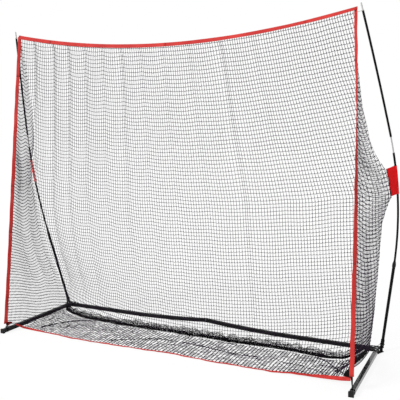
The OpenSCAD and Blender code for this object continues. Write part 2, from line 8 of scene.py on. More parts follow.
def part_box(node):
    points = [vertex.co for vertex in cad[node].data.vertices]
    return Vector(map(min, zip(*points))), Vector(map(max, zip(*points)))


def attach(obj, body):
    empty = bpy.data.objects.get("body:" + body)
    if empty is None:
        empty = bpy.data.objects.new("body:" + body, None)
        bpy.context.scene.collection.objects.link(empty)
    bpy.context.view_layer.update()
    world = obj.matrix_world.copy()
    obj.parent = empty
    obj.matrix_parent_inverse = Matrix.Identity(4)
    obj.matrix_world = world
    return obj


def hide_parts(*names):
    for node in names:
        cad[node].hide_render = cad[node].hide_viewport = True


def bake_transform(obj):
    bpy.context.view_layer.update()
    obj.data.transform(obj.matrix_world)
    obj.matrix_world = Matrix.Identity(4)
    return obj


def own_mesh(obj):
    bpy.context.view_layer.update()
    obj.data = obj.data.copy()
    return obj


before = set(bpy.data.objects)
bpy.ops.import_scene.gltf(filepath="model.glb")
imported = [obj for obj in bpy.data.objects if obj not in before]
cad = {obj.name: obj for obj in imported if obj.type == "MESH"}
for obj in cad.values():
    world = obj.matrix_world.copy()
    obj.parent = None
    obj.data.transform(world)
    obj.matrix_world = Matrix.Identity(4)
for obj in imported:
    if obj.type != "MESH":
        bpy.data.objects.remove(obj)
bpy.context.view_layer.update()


# ------------------------------------------------------------
# Rear bar and feet
# Welded square steel tube, 25 mm across, powder coated black. The bar is two
# halves; each foot is one length that folds in about a bolt.
# ------------------------------------------------------------

def linear(code):
    """An sRGB hex colour as linear RGBA."""
    parts = [int(code[k:k + 2], 16) / 255 for k in (1, 3, 5)]
    return tuple(c / 12.92 if c <= 0.04045 else ((c + 0.055) / 1.055) ** 2.4 for c in parts) + (1.0,)


def add(tree, kind, inputs=None, tones=(), **settings):
    """Adds one node; an input is a plain value or a (node, output) pair to link from.

    The tones are a colour ramp's: each is where it stands and its hex colour.
    """
    made = tree.nodes.new(kind)
    for name, value in settings.items():
        setattr(made, name, value)
    for name, value in (inputs or {}).items():
        if isinstance(value, tuple) and isinstance(value[0], bpy.types.Node):
            tree.links.new(value[0].outputs[value[1]], made.inputs[name])
        else:
            made.inputs[name].default_value = value
    for k, (place, code) in enumerate(tones):
        made.color_ramp.elements[k].position = place
        made.color_ramp.elements[k].color = linear(code)
    return made


def empty_finish(name):
    """An empty material and its tree."""
    material = bpy.data.materials.new(name)
    material.use_nodes = True
    material.node_tree.nodes.clear()
    return material, material.node_tree


def powder_coat(name, dark, light, roughness, shine, coat=0.0):
    """Baked polyester powder on steel: an even satin skin with a fine orange peel."""
    material, tree = empty_finish(name)
    place = add(tree, "ShaderNodeTexCoord"), "Object"
    # the peel is about 1 mm across, drawn at 2.5 mm so that it shows
    peel = add(tree, "ShaderNodeTexNoise", {"Vector": place, "Scale": 1 / 0.0025, "Detail": 2.0}), "Fac"
    cloud = add(tree, "ShaderNodeTexNoise", {"Vector": place, "Scale": 1 / 0.09, "Detail": 4.0}), "Fac"
    colour = add(tree, "ShaderNodeValToRGB", {"Fac": cloud}, ((0.35, dark), (0.65, light)))
    satin = add(tree, "ShaderNodeMapRange",
                {"Value": peel, "To Min": roughness - 0.06, "To Max": roughness + 0.08})
    bump = add(tree, "ShaderNodeBump", {"Height": peel, "Strength": 0.2, "Distance": 0.0003})
    shader = add(tree, "ShaderNodeBsdfPrincipled", {
        "Base Color": (colour, "Color"), "Roughness": (satin, "Result"), "Normal": (bump, "Normal"),
        "Specular IOR Level": shine, "Coat Weight": coat, "Coat Roughness": 0.1, "Coat IOR": 1.3})
    add(tree, "ShaderNodeOutputMaterial", {"Surface": (shader, "BSDF")})
    return material


def finish_nodes(material, *names):
    """Gives CAD nodes one finish."""
    for name in names:
        mesh = cad[name].data
        mesh.materials.clear()
        mesh.materials.append(material)


def both(*names):
    """Each name on the left and on the right."""
    return [name + side for name in names for side in ("_left", "_right")]


# the bar and its brackets are a full, flat black
finish_nodes(powder_coat("flat black powder coat", "#070708", "#0E0E10", 0.55, 0.12),
             *both("rear_bar", "corner_bracket", "pole_socket", "plate_spacer"))
# the feet are glossier: the right one's outer face mirrors the pale surroundings as grey
finish_nodes(powder_coat("glossy black powder coat", "#101111", "#191B1B", 0.45, 0.12, coat=1.0),
             "foot_right")
# the left foot has the same powder coat, darker and with less coat: painted shade, as its inner face looks
# onto the dark net
finish_nodes(powder_coat("black powder coat, painted shade", "#0A0A0B", "#121213", 0.5, 0.12, coat=0.15),
             "foot_left")


# ------------------------------------------------------------
# Coupling, snap button and bolts
# Bright zinc on pressed and turned steel: the sleeve inside the bar, its button,
# the bracket bolts, the pivots and the stop pins. The button's spring is blued.
# ------------------------------------------------------------

def metal(name, dark, light, roughness):
    """Plated or blued steel, with faint clouding where the bath left it thicker."""
    material, tree = empty_finish(name)
    place = add(tree, "ShaderNodeTexCoord"), "Object"
    cloud = add(tree, "ShaderNodeTexNoise", {"Vector": place, "Scale": 1 / 0.006, "Detail": 5.0}), "Fac"
    grain = add(tree, "ShaderNodeTexNoise", {"Vector": place, "Scale": 1 / 0.0008, "Detail": 2.0}), "Fac"
    colour = add(tree, "ShaderNodeValToRGB", {"Fac": cloud}, ((0.35, dark), (0.65, light)))
    polish = add(tree, "ShaderNodeMapRange",
                 {"Value": cloud, "To Min": roughness - 0.08, "To Max": roughness + 0.1})
    bump = add(tree, "ShaderNodeBump", {"Height": grain, "Strength": 0.15, "Distance": 0.0002})
    shader = add(tree, "ShaderNodeBsdfPrincipled", {
        "Base Color": (colour, "Color"), "Roughness": (polish, "Result"), "Normal": (bump, "Normal"),
        "Metallic": 1.0})
    add(tree, "ShaderNodeOutputMaterial", {"Surface": (shader, "BSDF")})
    return material


finish_nodes(metal("bright zinc plate", "#9A9DA0", "#C2C4C6", 0.32), "bar_coupling", "bar_button",
             *both("foot_stop_pin", "bracket_bolts", "pivot_bolt"))
finish_nodes(metal("blued spring steel", "#5B5F68", "#8A8D93", 0.28), "bar_button_spring")
# the leaf's upper arm sinks under the button: 2.9 mm of its 17.8 mm height
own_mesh(cad["bar_button_spring"])


# ------------------------------------------------------------
# Plugs, caps and collars
# Injection-moulded polyethylene pushed into or over the tube ends. The foot's
# front cap is softer, so that it grips the ground and doesn't mark a floor.
# ------------------------------------------------------------

def moulded(name, dark, light, roughness, grain_mm):
    """Moulded plastic or rubber: an even colour with a fine spark-eroded grain."""
    material, tree = empty_finish(name)
    place = add(tree, "ShaderNodeTexCoord"), "Object"
    grain = add(tree, "ShaderNodeTexNoise", {"Vector": place, "Scale": 1000 / grain_mm, "Detail": 3.0}), "Fac"
    cloud = add(tree, "ShaderNodeTexNoise", {"Vector": place, "Scale": 1 / 0.03, "Detail": 3.0}), "Fac"
    colour = add(tree, "ShaderNodeValToRGB", {"Fac": cloud}, ((0.35, dark), (0.65, light)))
    matt = add(tree, "ShaderNodeMapRange",
               {"Value": grain, "To Min": roughness - 0.05, "To Max": roughness + 0.1})
    bump = add(tree, "ShaderNodeBump", {"Height": grain, "Strength": 0.3, "Distance": 0.0003})
    shader = add(tree, "ShaderNodeBsdfPrincipled", {
        "Base Color": (colour, "Color"), "Roughness": (matt, "Result"), "Normal": (bump, "Normal"),
        "Specular IOR Level": 0.25})
    add(tree, "ShaderNodeOutputMaterial", {"Surface": (shader, "BSDF")})
    return material


finish_nodes(moulded("grey polyethylene", "#77797C", "#8C8E91", 0.45, 0.6), *both("bar_plug"))
finish_nodes(moulded("black rubber", "#101011", "#1B1B1C", 0.68, 1.0), *both("foot_cap"))
finish_nodes(moulded("black polyethylene", "#0E0E0F", "#171718", 0.5, 0.6),
             *both("foot_rear_plug", "pole_collar"))


# ------------------------------------------------------------
# Poles
# A steel tube stands in each socket. Above the collar the pole is a pultruded
# fibreglass rod in two lengths, mostly inside a shrunk-on black sleeve.
# ------------------------------------------------------------

def drawn_along(name, dark, light, roughness, streak_mm, shine):
    """A skin drawn or shrunk along the pole, with faint streaks that run up it."""
    material, tree = empty_finish(name)
    place = add(tree, "ShaderNodeTexCoord"), "Object"
    long = add(tree, "ShaderNodeMapping", {"Vector": place, "Scale": (1.0, 1.0, 0.03)}), "Vector"
    streak = add(tree, "ShaderNodeTexNoise",
                 {"Vector": long, "Scale": 1000 / streak_mm, "Detail": 3.0}), "Fac"
    cloud = add(tree, "ShaderNodeTexNoise", {"Vector": place, "Scale": 1 / 0.12, "Detail": 3.0}), "Fac"
    colour = add(tree, "ShaderNodeValToRGB", {"Fac": streak}, ((0.35, dark), (0.65, light)))
    satin = add(tree, "ShaderNodeMapRange",
                {"Value": cloud, "To Min": roughness - 0.06, "To Max": roughness + 0.08})
    bump = add(tree, "ShaderNodeBump", {"Height": streak, "Strength": 0.2, "Distance": 0.0003})
    shader = add(tree, "ShaderNodeBsdfPrincipled", {
        "Base Color": (colour, "Color"), "Roughness": (satin, "Result"), "Normal": (bump, "Normal"),
        "Specular IOR Level": shine})
    add(tree, "ShaderNodeOutputMaterial", {"Surface": (shader, "BSDF")})
    return material


finish_nodes(powder_coat("black powder coat on the pole", "#060607", "#0C0C0E", 0.55, 0.1),
             *both("pole_tube"))
finish_nodes(drawn_along("black shrunk sleeve", "#060607", "#0D0D0F", 0.5, 1.6, 0.1),
             *both("lower_rod_sleeve", "upper_rod_sleeve"))
finish_nodes(drawn_along("pultruded fibreglass", "#C6C6C4", "#DADAD8", 0.42, 1.0, 0.4),
             *both("rod_spigot", "rod_tip"))


# ------------------------------------------------------------
# Netting
# Black polyester net, 25 mm square mesh. One panel runs from one side hem
# across both rear edges to the other; the floor lies slack.
# ------------------------------------------------------------

SIDES = (("left", -1), ("right", 1))
FOOT_X = 1.25                                    # each foot's axis, out from the middle
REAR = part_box("rear_bar_left")[0].y + 0.0125     # the rear bar's axis
HEM_TOP = 2.112
HEM_SAG = 0.122
HEM_WIDTH = 0.025
HEM_THICK = 0.003
HEM_FOOT = {"left": 0.063, "right": 0.104}
HEM_REACH = 0.770        # from the bar forward to the side hem's foot
TOP_REACH = 0.598        # and to the top hem
BAG_BOTTOM = 0.046
MESH = 0.0246            # the 25 mm mesh as it hangs
TWINE = 0.0028           # 2 mm twine, drawn a little thicker so that it shows
FLOOR_TWINE = 0.0032     # and thicker where it lies in pairs
KNOT = 0.0040
SLACK = 0.0036           # how far a bar across hangs down between its knots
CLEAR = 0.0042           # least height of a knot's middle over the ground
FLOOR_CLEAR = 0.0028     # and of the floor's knots

# The bag's rear edge: how far out from the foot and back from the bar it is at each height
CREST_OUT = [(.045, -.030), (.2, -.009), (.5, .026), (.8, .056), (.9, .066), (.964, .082),
             (1.026, .100), (1.067, .116), (1.10, .110), (1.165, .097), (1.22, .087), (1.237, .076),
             (1.267, .052), (1.303, .027), (1.341, .010), (1.4, -.012), (1.6, -.050), (1.9, -.068),
             (2.12, -.068)]
CREST_BACK = [(.045, -.082), (.3, -.139), (.5, -.232), (.7, -.289), (.9, -.316), (1.0, -.310),
              (1.1, -.302), (1.2, -.323), (1.3, -.370), (1.5, -.429), (1.8, -.508), (2.12, -.592)]
CREST_TOP, CREST_RUN = 2.002, 1.952      # the height of its top, and how far down from there it runs
# The roll of slack net: out from the middle, and back from the bar
ROLL_LINE = {
    "left": [(0, -.276), (.24, -.277), (.41, -.280), (.57, -.288), (.735, -.276), (.836, -.265),
             (.93, -.258), (1.04, -.223), (1.107, -.196), (1.157, -.168), (1.212, -.100)],
    "right": [(0, -.276), (.3, -.276), (.52, -.264), (.735, -.268), (.872, -.274), (1.0, -.290),
              (1.09, -.270), (1.15, -.205), (1.212, -.100)]}
# The bottom hem's middle line: out from the middle, back from the bar, and up
HEM_PATH = {
    "left": [(0, -.640, .006), (.08, -.647, .006), (.23, -.656, .006), (.38, -.663, .006),
             (.54, -.671, .006), (.71, -.674, .006), (.90, -.660, .007), (1.08, -.653, .009),
             (1.18, -.646, .011), (1.203, -.660, .022), (1.226, -.676, .038)],
    "right": [(0, -.640, .006), (.06, -.637, .006), (.22, -.648, .006), (.36, -.653, .006),
              (.49, -.646, .006), (.63, -.647, .006), (.75, -.646, .008), (.87, -.638, .015),
              (.99, -.633, .020), (1.10, -.640, .030), (1.17, -.672, .048), (1.238, -.752, .088)]}
# Where each of the side panels' rows, given by its height at the rear edge, starts at the mouth:
# on the left they run down to the rear, on the right the bottom edge is drawn up in a bunch
ROWS = {"left": [(-.20, .03), (-.15, .04), (.05, .205), (.3, .425), (.7, .755), (1.1, 1.115),
                 (2.002, 2.002), (2.2, 2.2)],
        "right": [(0, .118), (.05, .168), (2.002, 2.002), (2.2, 2.2)]}


def curve(at, rows):
    """A value read off a line through points."""
    rows = np.array(rows, float)
    return np.interp(at, rows[:, 0], rows[:, 1])


def run_along(line):
    """The length of a line up to each of its points."""
    return np.concatenate([[0], np.cumsum(np.linalg.norm(np.diff(line, axis=0), axis=1))])


def mix(a, b, t):
    """The value that lies the share t of the way from a to b."""
    return a + (b - a) * t


def unit(v):
    """Vectors with their length made 1."""
    return v / np.maximum(np.linalg.norm(v, axis=-1, keepdims=True), 1e-9)


def crest(z):
    """The bag's right-hand rear edge at each height."""
    return np.stack([FOOT_X + curve(z, CREST_OUT), REAR + curve(z, CREST_BACK), z], -1)


def mouth(z):
    """The right-hand side hem's line at each height: it leans forward and in, and bows a little."""
    bow = np.sin(np.pi * z / HEM_TOP)
    pulled_in = curve(z, [(0, .005), (.5, .004), (1.0, 0), (1.6, 0), (2.1, .006)])
    out = FOOT_X + .002 - .033 * z + .005 * bow - pulled_in
    return np.stack([out, REAR - HEM_REACH + .0815 * z + .015 * bow, z], -1)


def hem_height(x):
    """The top hem's height: it sags, and hangs from a slightly higher corner on the right."""
    return HEM_TOP - HEM_SAG * (1 - (x / (FOOT_X - .067)) ** 2) + .0045 * x


def off_hem(points, side):
    """How far points lie from a side hem's line at their own height."""
    edge = mouth(np.clip(points[..., 2], 0, HEM_TOP)) * [side, 1, 1]
    return np.linalg.norm(points - edge, axis=-1)


# The height of the net's upper edge, inside the top hem: in the middle, and at the corners
BACK_TOP, EDGE_TOP = HEM_TOP - HEM_SAG - HEM_WIDTH / 2 - .003, HEM_TOP - HEM_WIDTH / 2 - .003


def back_point(off, down, name):
    """A point of the back: off runs from 0 to 1 out from its middle, down is from the top hem."""
    v = down / mix(BACK_TOP - BAG_BOTTOM, EDGE_TOP - BAG_BOTTOM, off ** 2)
    inside = np.clip(v, 0, 1)
    edge = crest(mix(EDGE_TOP, BAG_BOTTOM, v))
    middle_y = REAR + mix(-TOP_REACH, -.266, inside) + .022 * np.sin(np.pi * inside)
    foot_y = REAR + curve(off * 1.212, ROLL_LINE[name])
    y = mix(middle_y, edge[..., 1], off ** 2.2)
    y = mix(y, foot_y, np.clip((inside - .9) / .1, 0, 1) ** 3)
    z = mix(mix(BACK_TOP, EDGE_TOP, off ** 2), BAG_BOTTOM, v)
    return np.stack([off * (edge[..., 0] - .008), y, z], -1)


def side_point(u, z_crest, name):
    """A point of a side panel, as on the right: u runs from the mouth to the rear edge."""
    z_front = curve(z_crest, ROWS[name])
    front, rear = mouth(z_front), crest(z_crest)
    v = np.clip((CREST_TOP - z_crest) / CREST_RUN, 0, 1)
    span = np.linalg.norm(rear - front, axis=-1)
    at = mix(front, rear, (u * (1 - .006 / span))[..., None])
    # the rows sag between the mouth and the rear edge, and those on the left also ripple
    sag = .038 * np.sin(np.pi * v) + (.018 * v ** 4 if name == "right" else 0)
    at[..., 2] -= sag * np.sin(np.pi * u)
    if name == "left":
        at[..., 2] += .008 * np.sin(9.5 * u + 2.2 * z_crest) * np.sin(np.pi * u)
    at[..., 0] -= .0046 * np.clip(u * 8, 0, 1)
    return at


def ripple(places, count, shortest, longest, seed):
    """A smooth seeded wave over a plane, from -1 to 1 or so."""
    draw = np.random.default_rng(seed)
    total = 0
    for _ in range(count):
        length = draw.uniform(shortest, longest)
        way = draw.uniform(0, 2 * np.pi)
        run = places[..., 0] * np.cos(way) + places[..., 1] * np.sin(way)
        total = total + np.sin(2 * np.pi * run / length + draw.uniform(0, 6.28))
    return total / np.sqrt(count)


# Where the net is gathered along the top hem, how deep each fold is and how far down it reaches
GATHERS = [(-1.10, .9, 1.1), (-.93, 1.0, 1.2), (-.79, .9, 1.0), (-.65, .5, .7), (-.50, .4, .6),
           (-.35, .7, .8), (-.20, .3, .5), (-.03, .3, .5), (.16, .3, .6), (.38, .8, 1.3), (.60, .3, .5)]
GATHER_WIDTH = .024
COLUMNS = 130            # on each side of the middle
EVEN_PITCH = .0155       # between the columns where nothing gathers them
PITCH = [(0, .0150), (.3, .0160), (1.0, .0190), (2.1, .0195)]      # and as they hang, by depth
# The side panels' columns are gathered closer, but for the right one's top
SIDE_PACK = {"left": [(0, .62), (1.0, .60), (2.1, .66)],
             "right": [(0, 1.2), (.6, 1.1), (1.0, .72), (1.3, .66), (1.6, .72), (2.1, .80)]}
# How thick those columns and the rows across them are drawn, as a share of the twine
COLUMN_SIZE = {"left": .73, "right": .61}
ROW_SIZE = {"left": 1.3, "right": 1.0}
BACK_STEPS, SIDE_STEPS = 160, 50


def bag_net():
    """The back and side panels' knots as (row, column), and what each knot lies on."""
    down = np.arange(int((EDGE_TOP - BAG_BOTTOM) / MESH) + 10) * MESH
    i = np.arange(-COLUMNS, COLUMNS + 1)
    shape = len(down), len(i)
    knots, beyond, on_side = np.zeros(shape + (3,)), np.zeros(shape, bool), np.zeros(shape, bool)
    off, u = np.linspace(0, 1, BACK_STEPS), np.linspace(0, 1, SIDE_STEPS)
    for j, d in enumerate(down):
        pitch = curve(d, PITCH)
        a = i * pitch
        for place, depth, reach in GATHERS:
            s = (a / pitch * EVEN_PITCH - place) / GATHER_WIDTH
            fade = max(0, 1 - d / (2 * reach)) ** .7
            a = a - .5 * GATHER_WIDTH * depth * s * np.exp(-s * s / 2) * fade
        a = a + .0014 * ripple(np.stack([a, np.full_like(a, d)], -1), 6, .15, .5, 5)
        for name, side in SIDES:
            mine = a < 0 if side < 0 else a >= 0
            back = back_point(off, np.full(BACK_STEPS, d), name)
            path = np.concatenate([back, side_point(1 - u, np.full(SIDE_STEPS, back[-1, 2]), name)])
            length = run_along(path)
            turn = length[BACK_STEPS - 1]
            far = np.abs(a[mine])
            far = np.where(far > turn, turn + (far - turn) * curve(d, SIDE_PACK[name]), far)
            beyond[j, mine] = far > length[-1]
            on_side[j, mine] = far > turn
            at = np.stack([np.interp(far, length, path[:, k]) for k in range(3)], -1)
            knots[j, mine] = at * [side, 1, 1]
    normal = unit(np.cross(unit(np.gradient(knots, axis=1)), unit(np.gradient(knots, axis=0))))
    # soft folds out of the panel's own plane, and rows that hang in swags between the gathers
    place = np.stack(np.broadcast_arrays(i[None] * EVEN_PITCH, down[:, None]), -1)
    across, depth_of = place[..., 0], place[..., 1]
    tight = np.clip(depth_of / .04, 0, 1) * np.clip((BACK_TOP - BAG_BOTTOM - depth_of) / .1, 0, 1)
    for side in (1, -1):
        tight = tight * np.clip(off_hem(knots, side) / .08, 0, 1)
    folds, swags = 0, np.zeros(shape)
    for where, deep, reach in GATHERS:
        s = (across - where) / GATHER_WIDTH
        folds = folds + .013 * deep * np.exp(-s * s / 2) * np.clip(1 - depth_of / (2 * reach), 0, 1)
    stops = [-1.45, -1.27] + [g[0] for g in GATHERS] + [.84, 1.05, 1.25, 1.45]
    for low, high in zip(stops[:-1], stops[1:]):
        t = (across - low) / (high - low)
        swags += np.where((t >= 0) & (t < 1), .5 - 4 * t * (1 - t), 0)
    calm = curve(across, [(1.1, .0040), (1.35, .0018)])
    swags *= curve(across, [(-1.3, .015), (-.7, .012), (-.3, .007), (.4, .003), (1.3, .003)])
    knots += normal * ((folds + calm * ripple(place * [1, .45], 7, .2, .6, 11)) * tight)[..., None]
    knots[..., 2] += (swags + .0012 * ripple(place, 6, .15, .4, 19)) * tight
    return knots, beyond, on_side, normal


def drawn_size(out, on_side, sizes):
    """How thick bars are drawn: each side panel's own share, and 1 elsewhere."""
    return np.where(on_side, np.where(out > 0, sizes["right"], sizes["left"]), 1)


rng = np.random.default_rng(27)


def bars_of(knots, normal, across_ok, down_ok, slack=0.0, on_side=None):
    """The net's bars: their ends and normals, which ends are knots, and which lie on a side panel."""
    a, b = knots[:, :-1][across_ok], knots[:, 1:][across_ok]
    n = unit((normal[:, :-1] + normal[:, 1:])[across_ok])
    on_side = np.zeros(knots.shape[:2], bool) if on_side is None else on_side
    tag = (on_side[:, :-1] & on_side[:, 1:])[across_ok]
    size = drawn_size(a[:, 0], tag, ROW_SIZE)
    if slack:       # the rows are gathered, so each bar hangs slack between its knots
        loose = rng.uniform(.6, 1.4, (len(a), 1)) * slack
        low = (a + b) / 2 - loose * [0, 0, 1] + rng.uniform(-.8, .8, (len(a), 1)) * slack * n
        low[:, 2] = np.maximum(low[:, 2], CLEAR)
        ends, over = [np.stack([a, low], 1), np.stack([low, b], 1)], [n, n]
        tied = [np.tile([True, False], (len(a), 1)), np.tile([False, True], (len(a), 1))]
        tags, sizes = [tag, tag], [size, size]
    else:
        ends, over, tied = [np.stack([a, b], 1)], [n], [np.ones((len(a), 2), bool)]
        tags, sizes = [tag], [size]
    c, d = knots[:-1][down_ok], knots[1:][down_ok]
    tag = (on_side[:-1] & on_side[1:])[down_ok]
    return {"ends": np.concatenate(ends + [np.stack([c, d], 1)]),
            "over": np.concatenate(over + [unit((normal[:-1] + normal[1:])[down_ok])]),
            "tied": np.concatenate(tied + [np.ones((len(c), 2), bool)]),
            "side": np.concatenate(tags + [tag]),
            "size": np.concatenate(sizes + [drawn_size(c[:, 0], tag, COLUMN_SIZE)])}


def some(bars, which):
    """The bars that are picked out."""
    return {key: value[which] for key, value in bars.items()}


def joined(*parts):
    """Sets of bars as one set."""
    return {key: np.concatenate([part[key] for part in parts]) for key in parts[0]}


def cut_level(bars, z):
    """Splits the bars that cross a height in two."""
    low, high = np.sort(bars["ends"][..., 2], axis=1).T
    crosses = (low < z - 1e-6) & (high > z + 1e-6)
    cut = some(bars, crosses)
    a, b = cut["ends"][:, 0], cut["ends"][:, 1]
    middle = mix(a, b, ((z - a[:, 2]) / (b[:, 2] - a[:, 2]))[:, None])
    first = dict(cut, ends=np.stack([a, middle], 1), tied=cut["tied"] & [True, False])
    second = dict(cut, ends=np.stack([middle, b], 1), tied=cut["tied"] & [False, True])
    return joined(some(bars, ~crosses), first, second)


def solid(name, points, faces, material):
    """A smooth-shaded mesh with one finish."""
    mesh = bpy.data.meshes.new(name)
    mesh.from_pydata(np.asarray(points).tolist(), [], faces)
    mesh.polygons.foreach_set("use_smooth", np.ones(len(mesh.polygons), bool))
    mesh.update()
    made = bpy.data.objects.new(name, mesh)
    bpy.context.scene.collection.objects.link(made)
    mesh.materials.append(material)
    return made


def twine_piece(name, bars, thick=TWINE, knot=KNOT, material=None):
    """Three-sided twine along each bar, and a small closed knot where bars meet."""
    ends = bars["ends"]
    way = unit(ends[:, 1] - ends[:, 0])
    side = unit(np.cross(way, bars["over"]))
    up = np.cross(side, way)
    angles = np.radians([90, 210, 330])
    ring = np.cos(angles)[None, :, None] * side[:, None] + np.sin(angles)[None, :, None] * up[:, None]
    radius = (thick * .55 * bars["size"])[:, None, None, None]
    points = (ends[:, :, None] + radius * ring[:, None]).reshape(-1, 3)
    first = np.arange(len(ends))[:, None] * 6
    quads = np.concatenate([first + np.array([k, (k + 1) % 3, 3 + (k + 1) % 3, 3 + k]) for k in range(3)])
    tied = bars["tied"].ravel()
    spots, use = np.unique(np.round(ends.reshape(-1, 3)[tied], 6), axis=0, return_index=True)
    over = np.repeat(bars["over"], 2, 0)[tied][use]
    along = np.repeat(way, 2, 0)[tied][use]
    third = unit(np.cross(over, along)) * .85
    star = np.stack([along, third, -along, -third, over * .7, -over * .7], 1) * knot
    knot_points = (spots[:, None] + star).reshape(-1, 3)
    start = len(points) + np.arange(len(spots))[:, None] * 6
    tris = np.concatenate([start + np.array([k, (k + 1) % 4, 4]) for k in range(4)]
                          + [start + np.array([(k + 1) % 4, k, 5]) for k in range(4)])
    return solid(name, np.concatenate([points, knot_points]), quads.tolist() + tris.tolist(),
                 material or net_twine)


def braided_twine(name, dark, light):
    """Braided polyester: nearly black, with a violet cast and a little dust on it."""
    material, tree = empty_finish(name)
    place = add(tree, "ShaderNodeTexCoord"), "Object"
    fibre = add(tree, "ShaderNodeTexNoise", {"Vector": place, "Scale": 1 / 0.0012, "Detail": 3.0}), "Fac"
    dust = add(tree, "ShaderNodeTexNoise", {"Vector": place, "Scale": 1 / 0.18, "Detail": 4.0}), "Fac"
    colour = add(tree, "ShaderNodeValToRGB", {"Fac": dust}, ((0.35, dark), (0.65, light)))
    matt = add(tree, "ShaderNodeMapRange", {"Value": fibre, "To Min": 0.6, "To Max": 0.85})
    bump = add(tree, "ShaderNodeBump", {"Height": fibre, "Strength": 0.5, "Distance": 0.0004})
    shader = add(tree, "ShaderNodeBsdfPrincipled", {
        "Base Color": (colour, "Color"), "Roughness": (matt, "Result"), "Normal": (bump, "Normal"),
        "Specular IOR Level": 0.08})
    add(tree, "ShaderNodeOutputMaterial", {"Surface": (shader, "BSDF")})
    return material


# twine in the roll and the bunch is a darker copy of the stretched panels' twine: painted shade, for the
# shade deep in their packed folds
net_twine = braided_twine("black polyester twine", "#221826", "#382B3D")
shade_painted_twine = braided_twine("black polyester twine, painted shade", "#0B090C", "#1A161C")

# The net is tied to the foot at its lower corners, the pole at its tabs and the rod at its top corners. Each
# pull is a slope and a level.
SEAM_POLE = 1.05
SEAM_FOOT = .72
PULLS = {}


def pull(slope, zero_at, side):
    """A pull's slope and level, from a place on the right where it starts."""
    slope = np.array(slope, float)
    return slope * [side, 1, 1], float(slope @ np.array(zero_at, float))


def follow(made, a, b, slope, level):
    """Bakes a piece's place into its mesh; a, b, slope and level are not used."""
    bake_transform(made)
    return made


# the pole takes hold from .1 m to .9 m out, the rod across the corner, the foot towards the mouth
for name, side in SIDES:
    reach, lower_corner = 1 / .8, REAR - .763
    PULLS[name, "upper"] = pull((reach, 0, 0), (.1, 0, 0), side)
    PULLS[name, "middle"] = pull((reach, 0, 4.7), (.1, 0, SEAM_POLE), side)
    rod = np.array([.5, 0, .86])
    PULLS[name, "corner"] = pull(rod / .17, np.array([.9, 0, 2.0]) + rod * .03, side)
    PULLS[name, "low"] = pull((0, -1.6, -1.62), (0, lower_corner + 1 / 1.6, .09), side)
    PULLS[name, "floor"] = pull((.75, -1.53, 0), (FOOT_X, lower_corner + 1 / 1.53, 0), side)


def in_corner(points, side):
    """Whether points lie in the top corner, past a slanting line."""
    return (points[:, 0] * side - .9) * .5 + (points[:, 2] - 2.0) * .86 > 0


knots, beyond, on_side, normal = bag_net()
knots[..., 2] = np.maximum(knots[..., 2], CLEAR)
below = np.arange(len(knots))[:, None] * MESH > EDGE_TOP - BAG_BOTTOM + .004
gone = beyond | (knots[..., 2] < .022) | (below & ~(on_side & (knots[..., 0] < 0)))
bag = bars_of(knots, normal, ~(gone[:, 1:] & gone[:, :-1]), ~(gone[1:] & gone[:-1]), SLACK, on_side)
# the first row hangs in the top hem
top = np.flatnonzero(~beyond[0])
bag = joined(bag, {"ends": np.stack([knots[0, top], knots[0, top] + [0, 0, .016]], 1),
                   "over": normal[0, top], "tied": np.zeros((len(top), 2), bool),
                   "side": np.zeros(len(top), bool), "size": np.ones(len(top))})

# the net's edge is sewn in between the hem's two plies, so no knot shows there
for side in (1, -1):
    bag["tied"] = bag["tied"] & (off_hem(bag["ends"], side) > HEM_WIDTH / 2 - .001)

for name, side in SIDES:
    half = some(bag, bag["ends"][..., 0].mean(1) * side >= (1e-9 if side < 0 else 0))
    middle, high = half["ends"].mean(1), half["ends"][..., 2].max(1)
    upper = high > SEAM_POLE
    corner = in_corner(middle, side) & upper
    body = cut_level(some(half, upper & ~corner), SEAM_POLE)
    above = body["ends"][..., 2].mean(1) > SEAM_POLE
    waist = ~upper & (middle[:, 2] > SEAM_FOOT)
    low = ~upper & ~waist
    pole, rod, foot = name + "_pole", name + "_rod", name + "_foot"
    for part, bars, a, b, key in (
            ("upper", some(body, above), "base", pole, "upper"),
            ("corner", some(half, corner), pole, rod, "corner"),
            ("middle", joined(some(body, ~above), some(half, waist)), "base", pole, "middle")):
        net = follow(twine_piece(f"net_{part}_{name}", bars), a, b, *PULLS[name, key])
        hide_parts("net_back", "net_side_" + name)
    net = twine_piece("net_lower_back_" + name, some(half, low & ~half["side"]))
    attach(net, "base")
    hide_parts("net_back")
    net = twine_piece("net_lower_side_" + name, some(half, low & half["side"]))
    follow(net, "base", foot, *PULLS[name, "low"])
    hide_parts("net_side_" + name)


def hem_line(name, x):
    """The bottom hem's middle line, with small waves that die out towards the corner."""
    rows = np.array(HEM_PATH[name])
    wave = .0022 * np.sin(x * 31) + .0016 * np.sin(x * 74 + 1)
    wave = wave * np.clip((1.1 - x) / .2, 0, 1)
    forward, up = (np.interp(x, rows[:, 0], rows[:, k]) for k in (1, 2))
    return np.stack([x, REAR + forward + wave, up], -1)


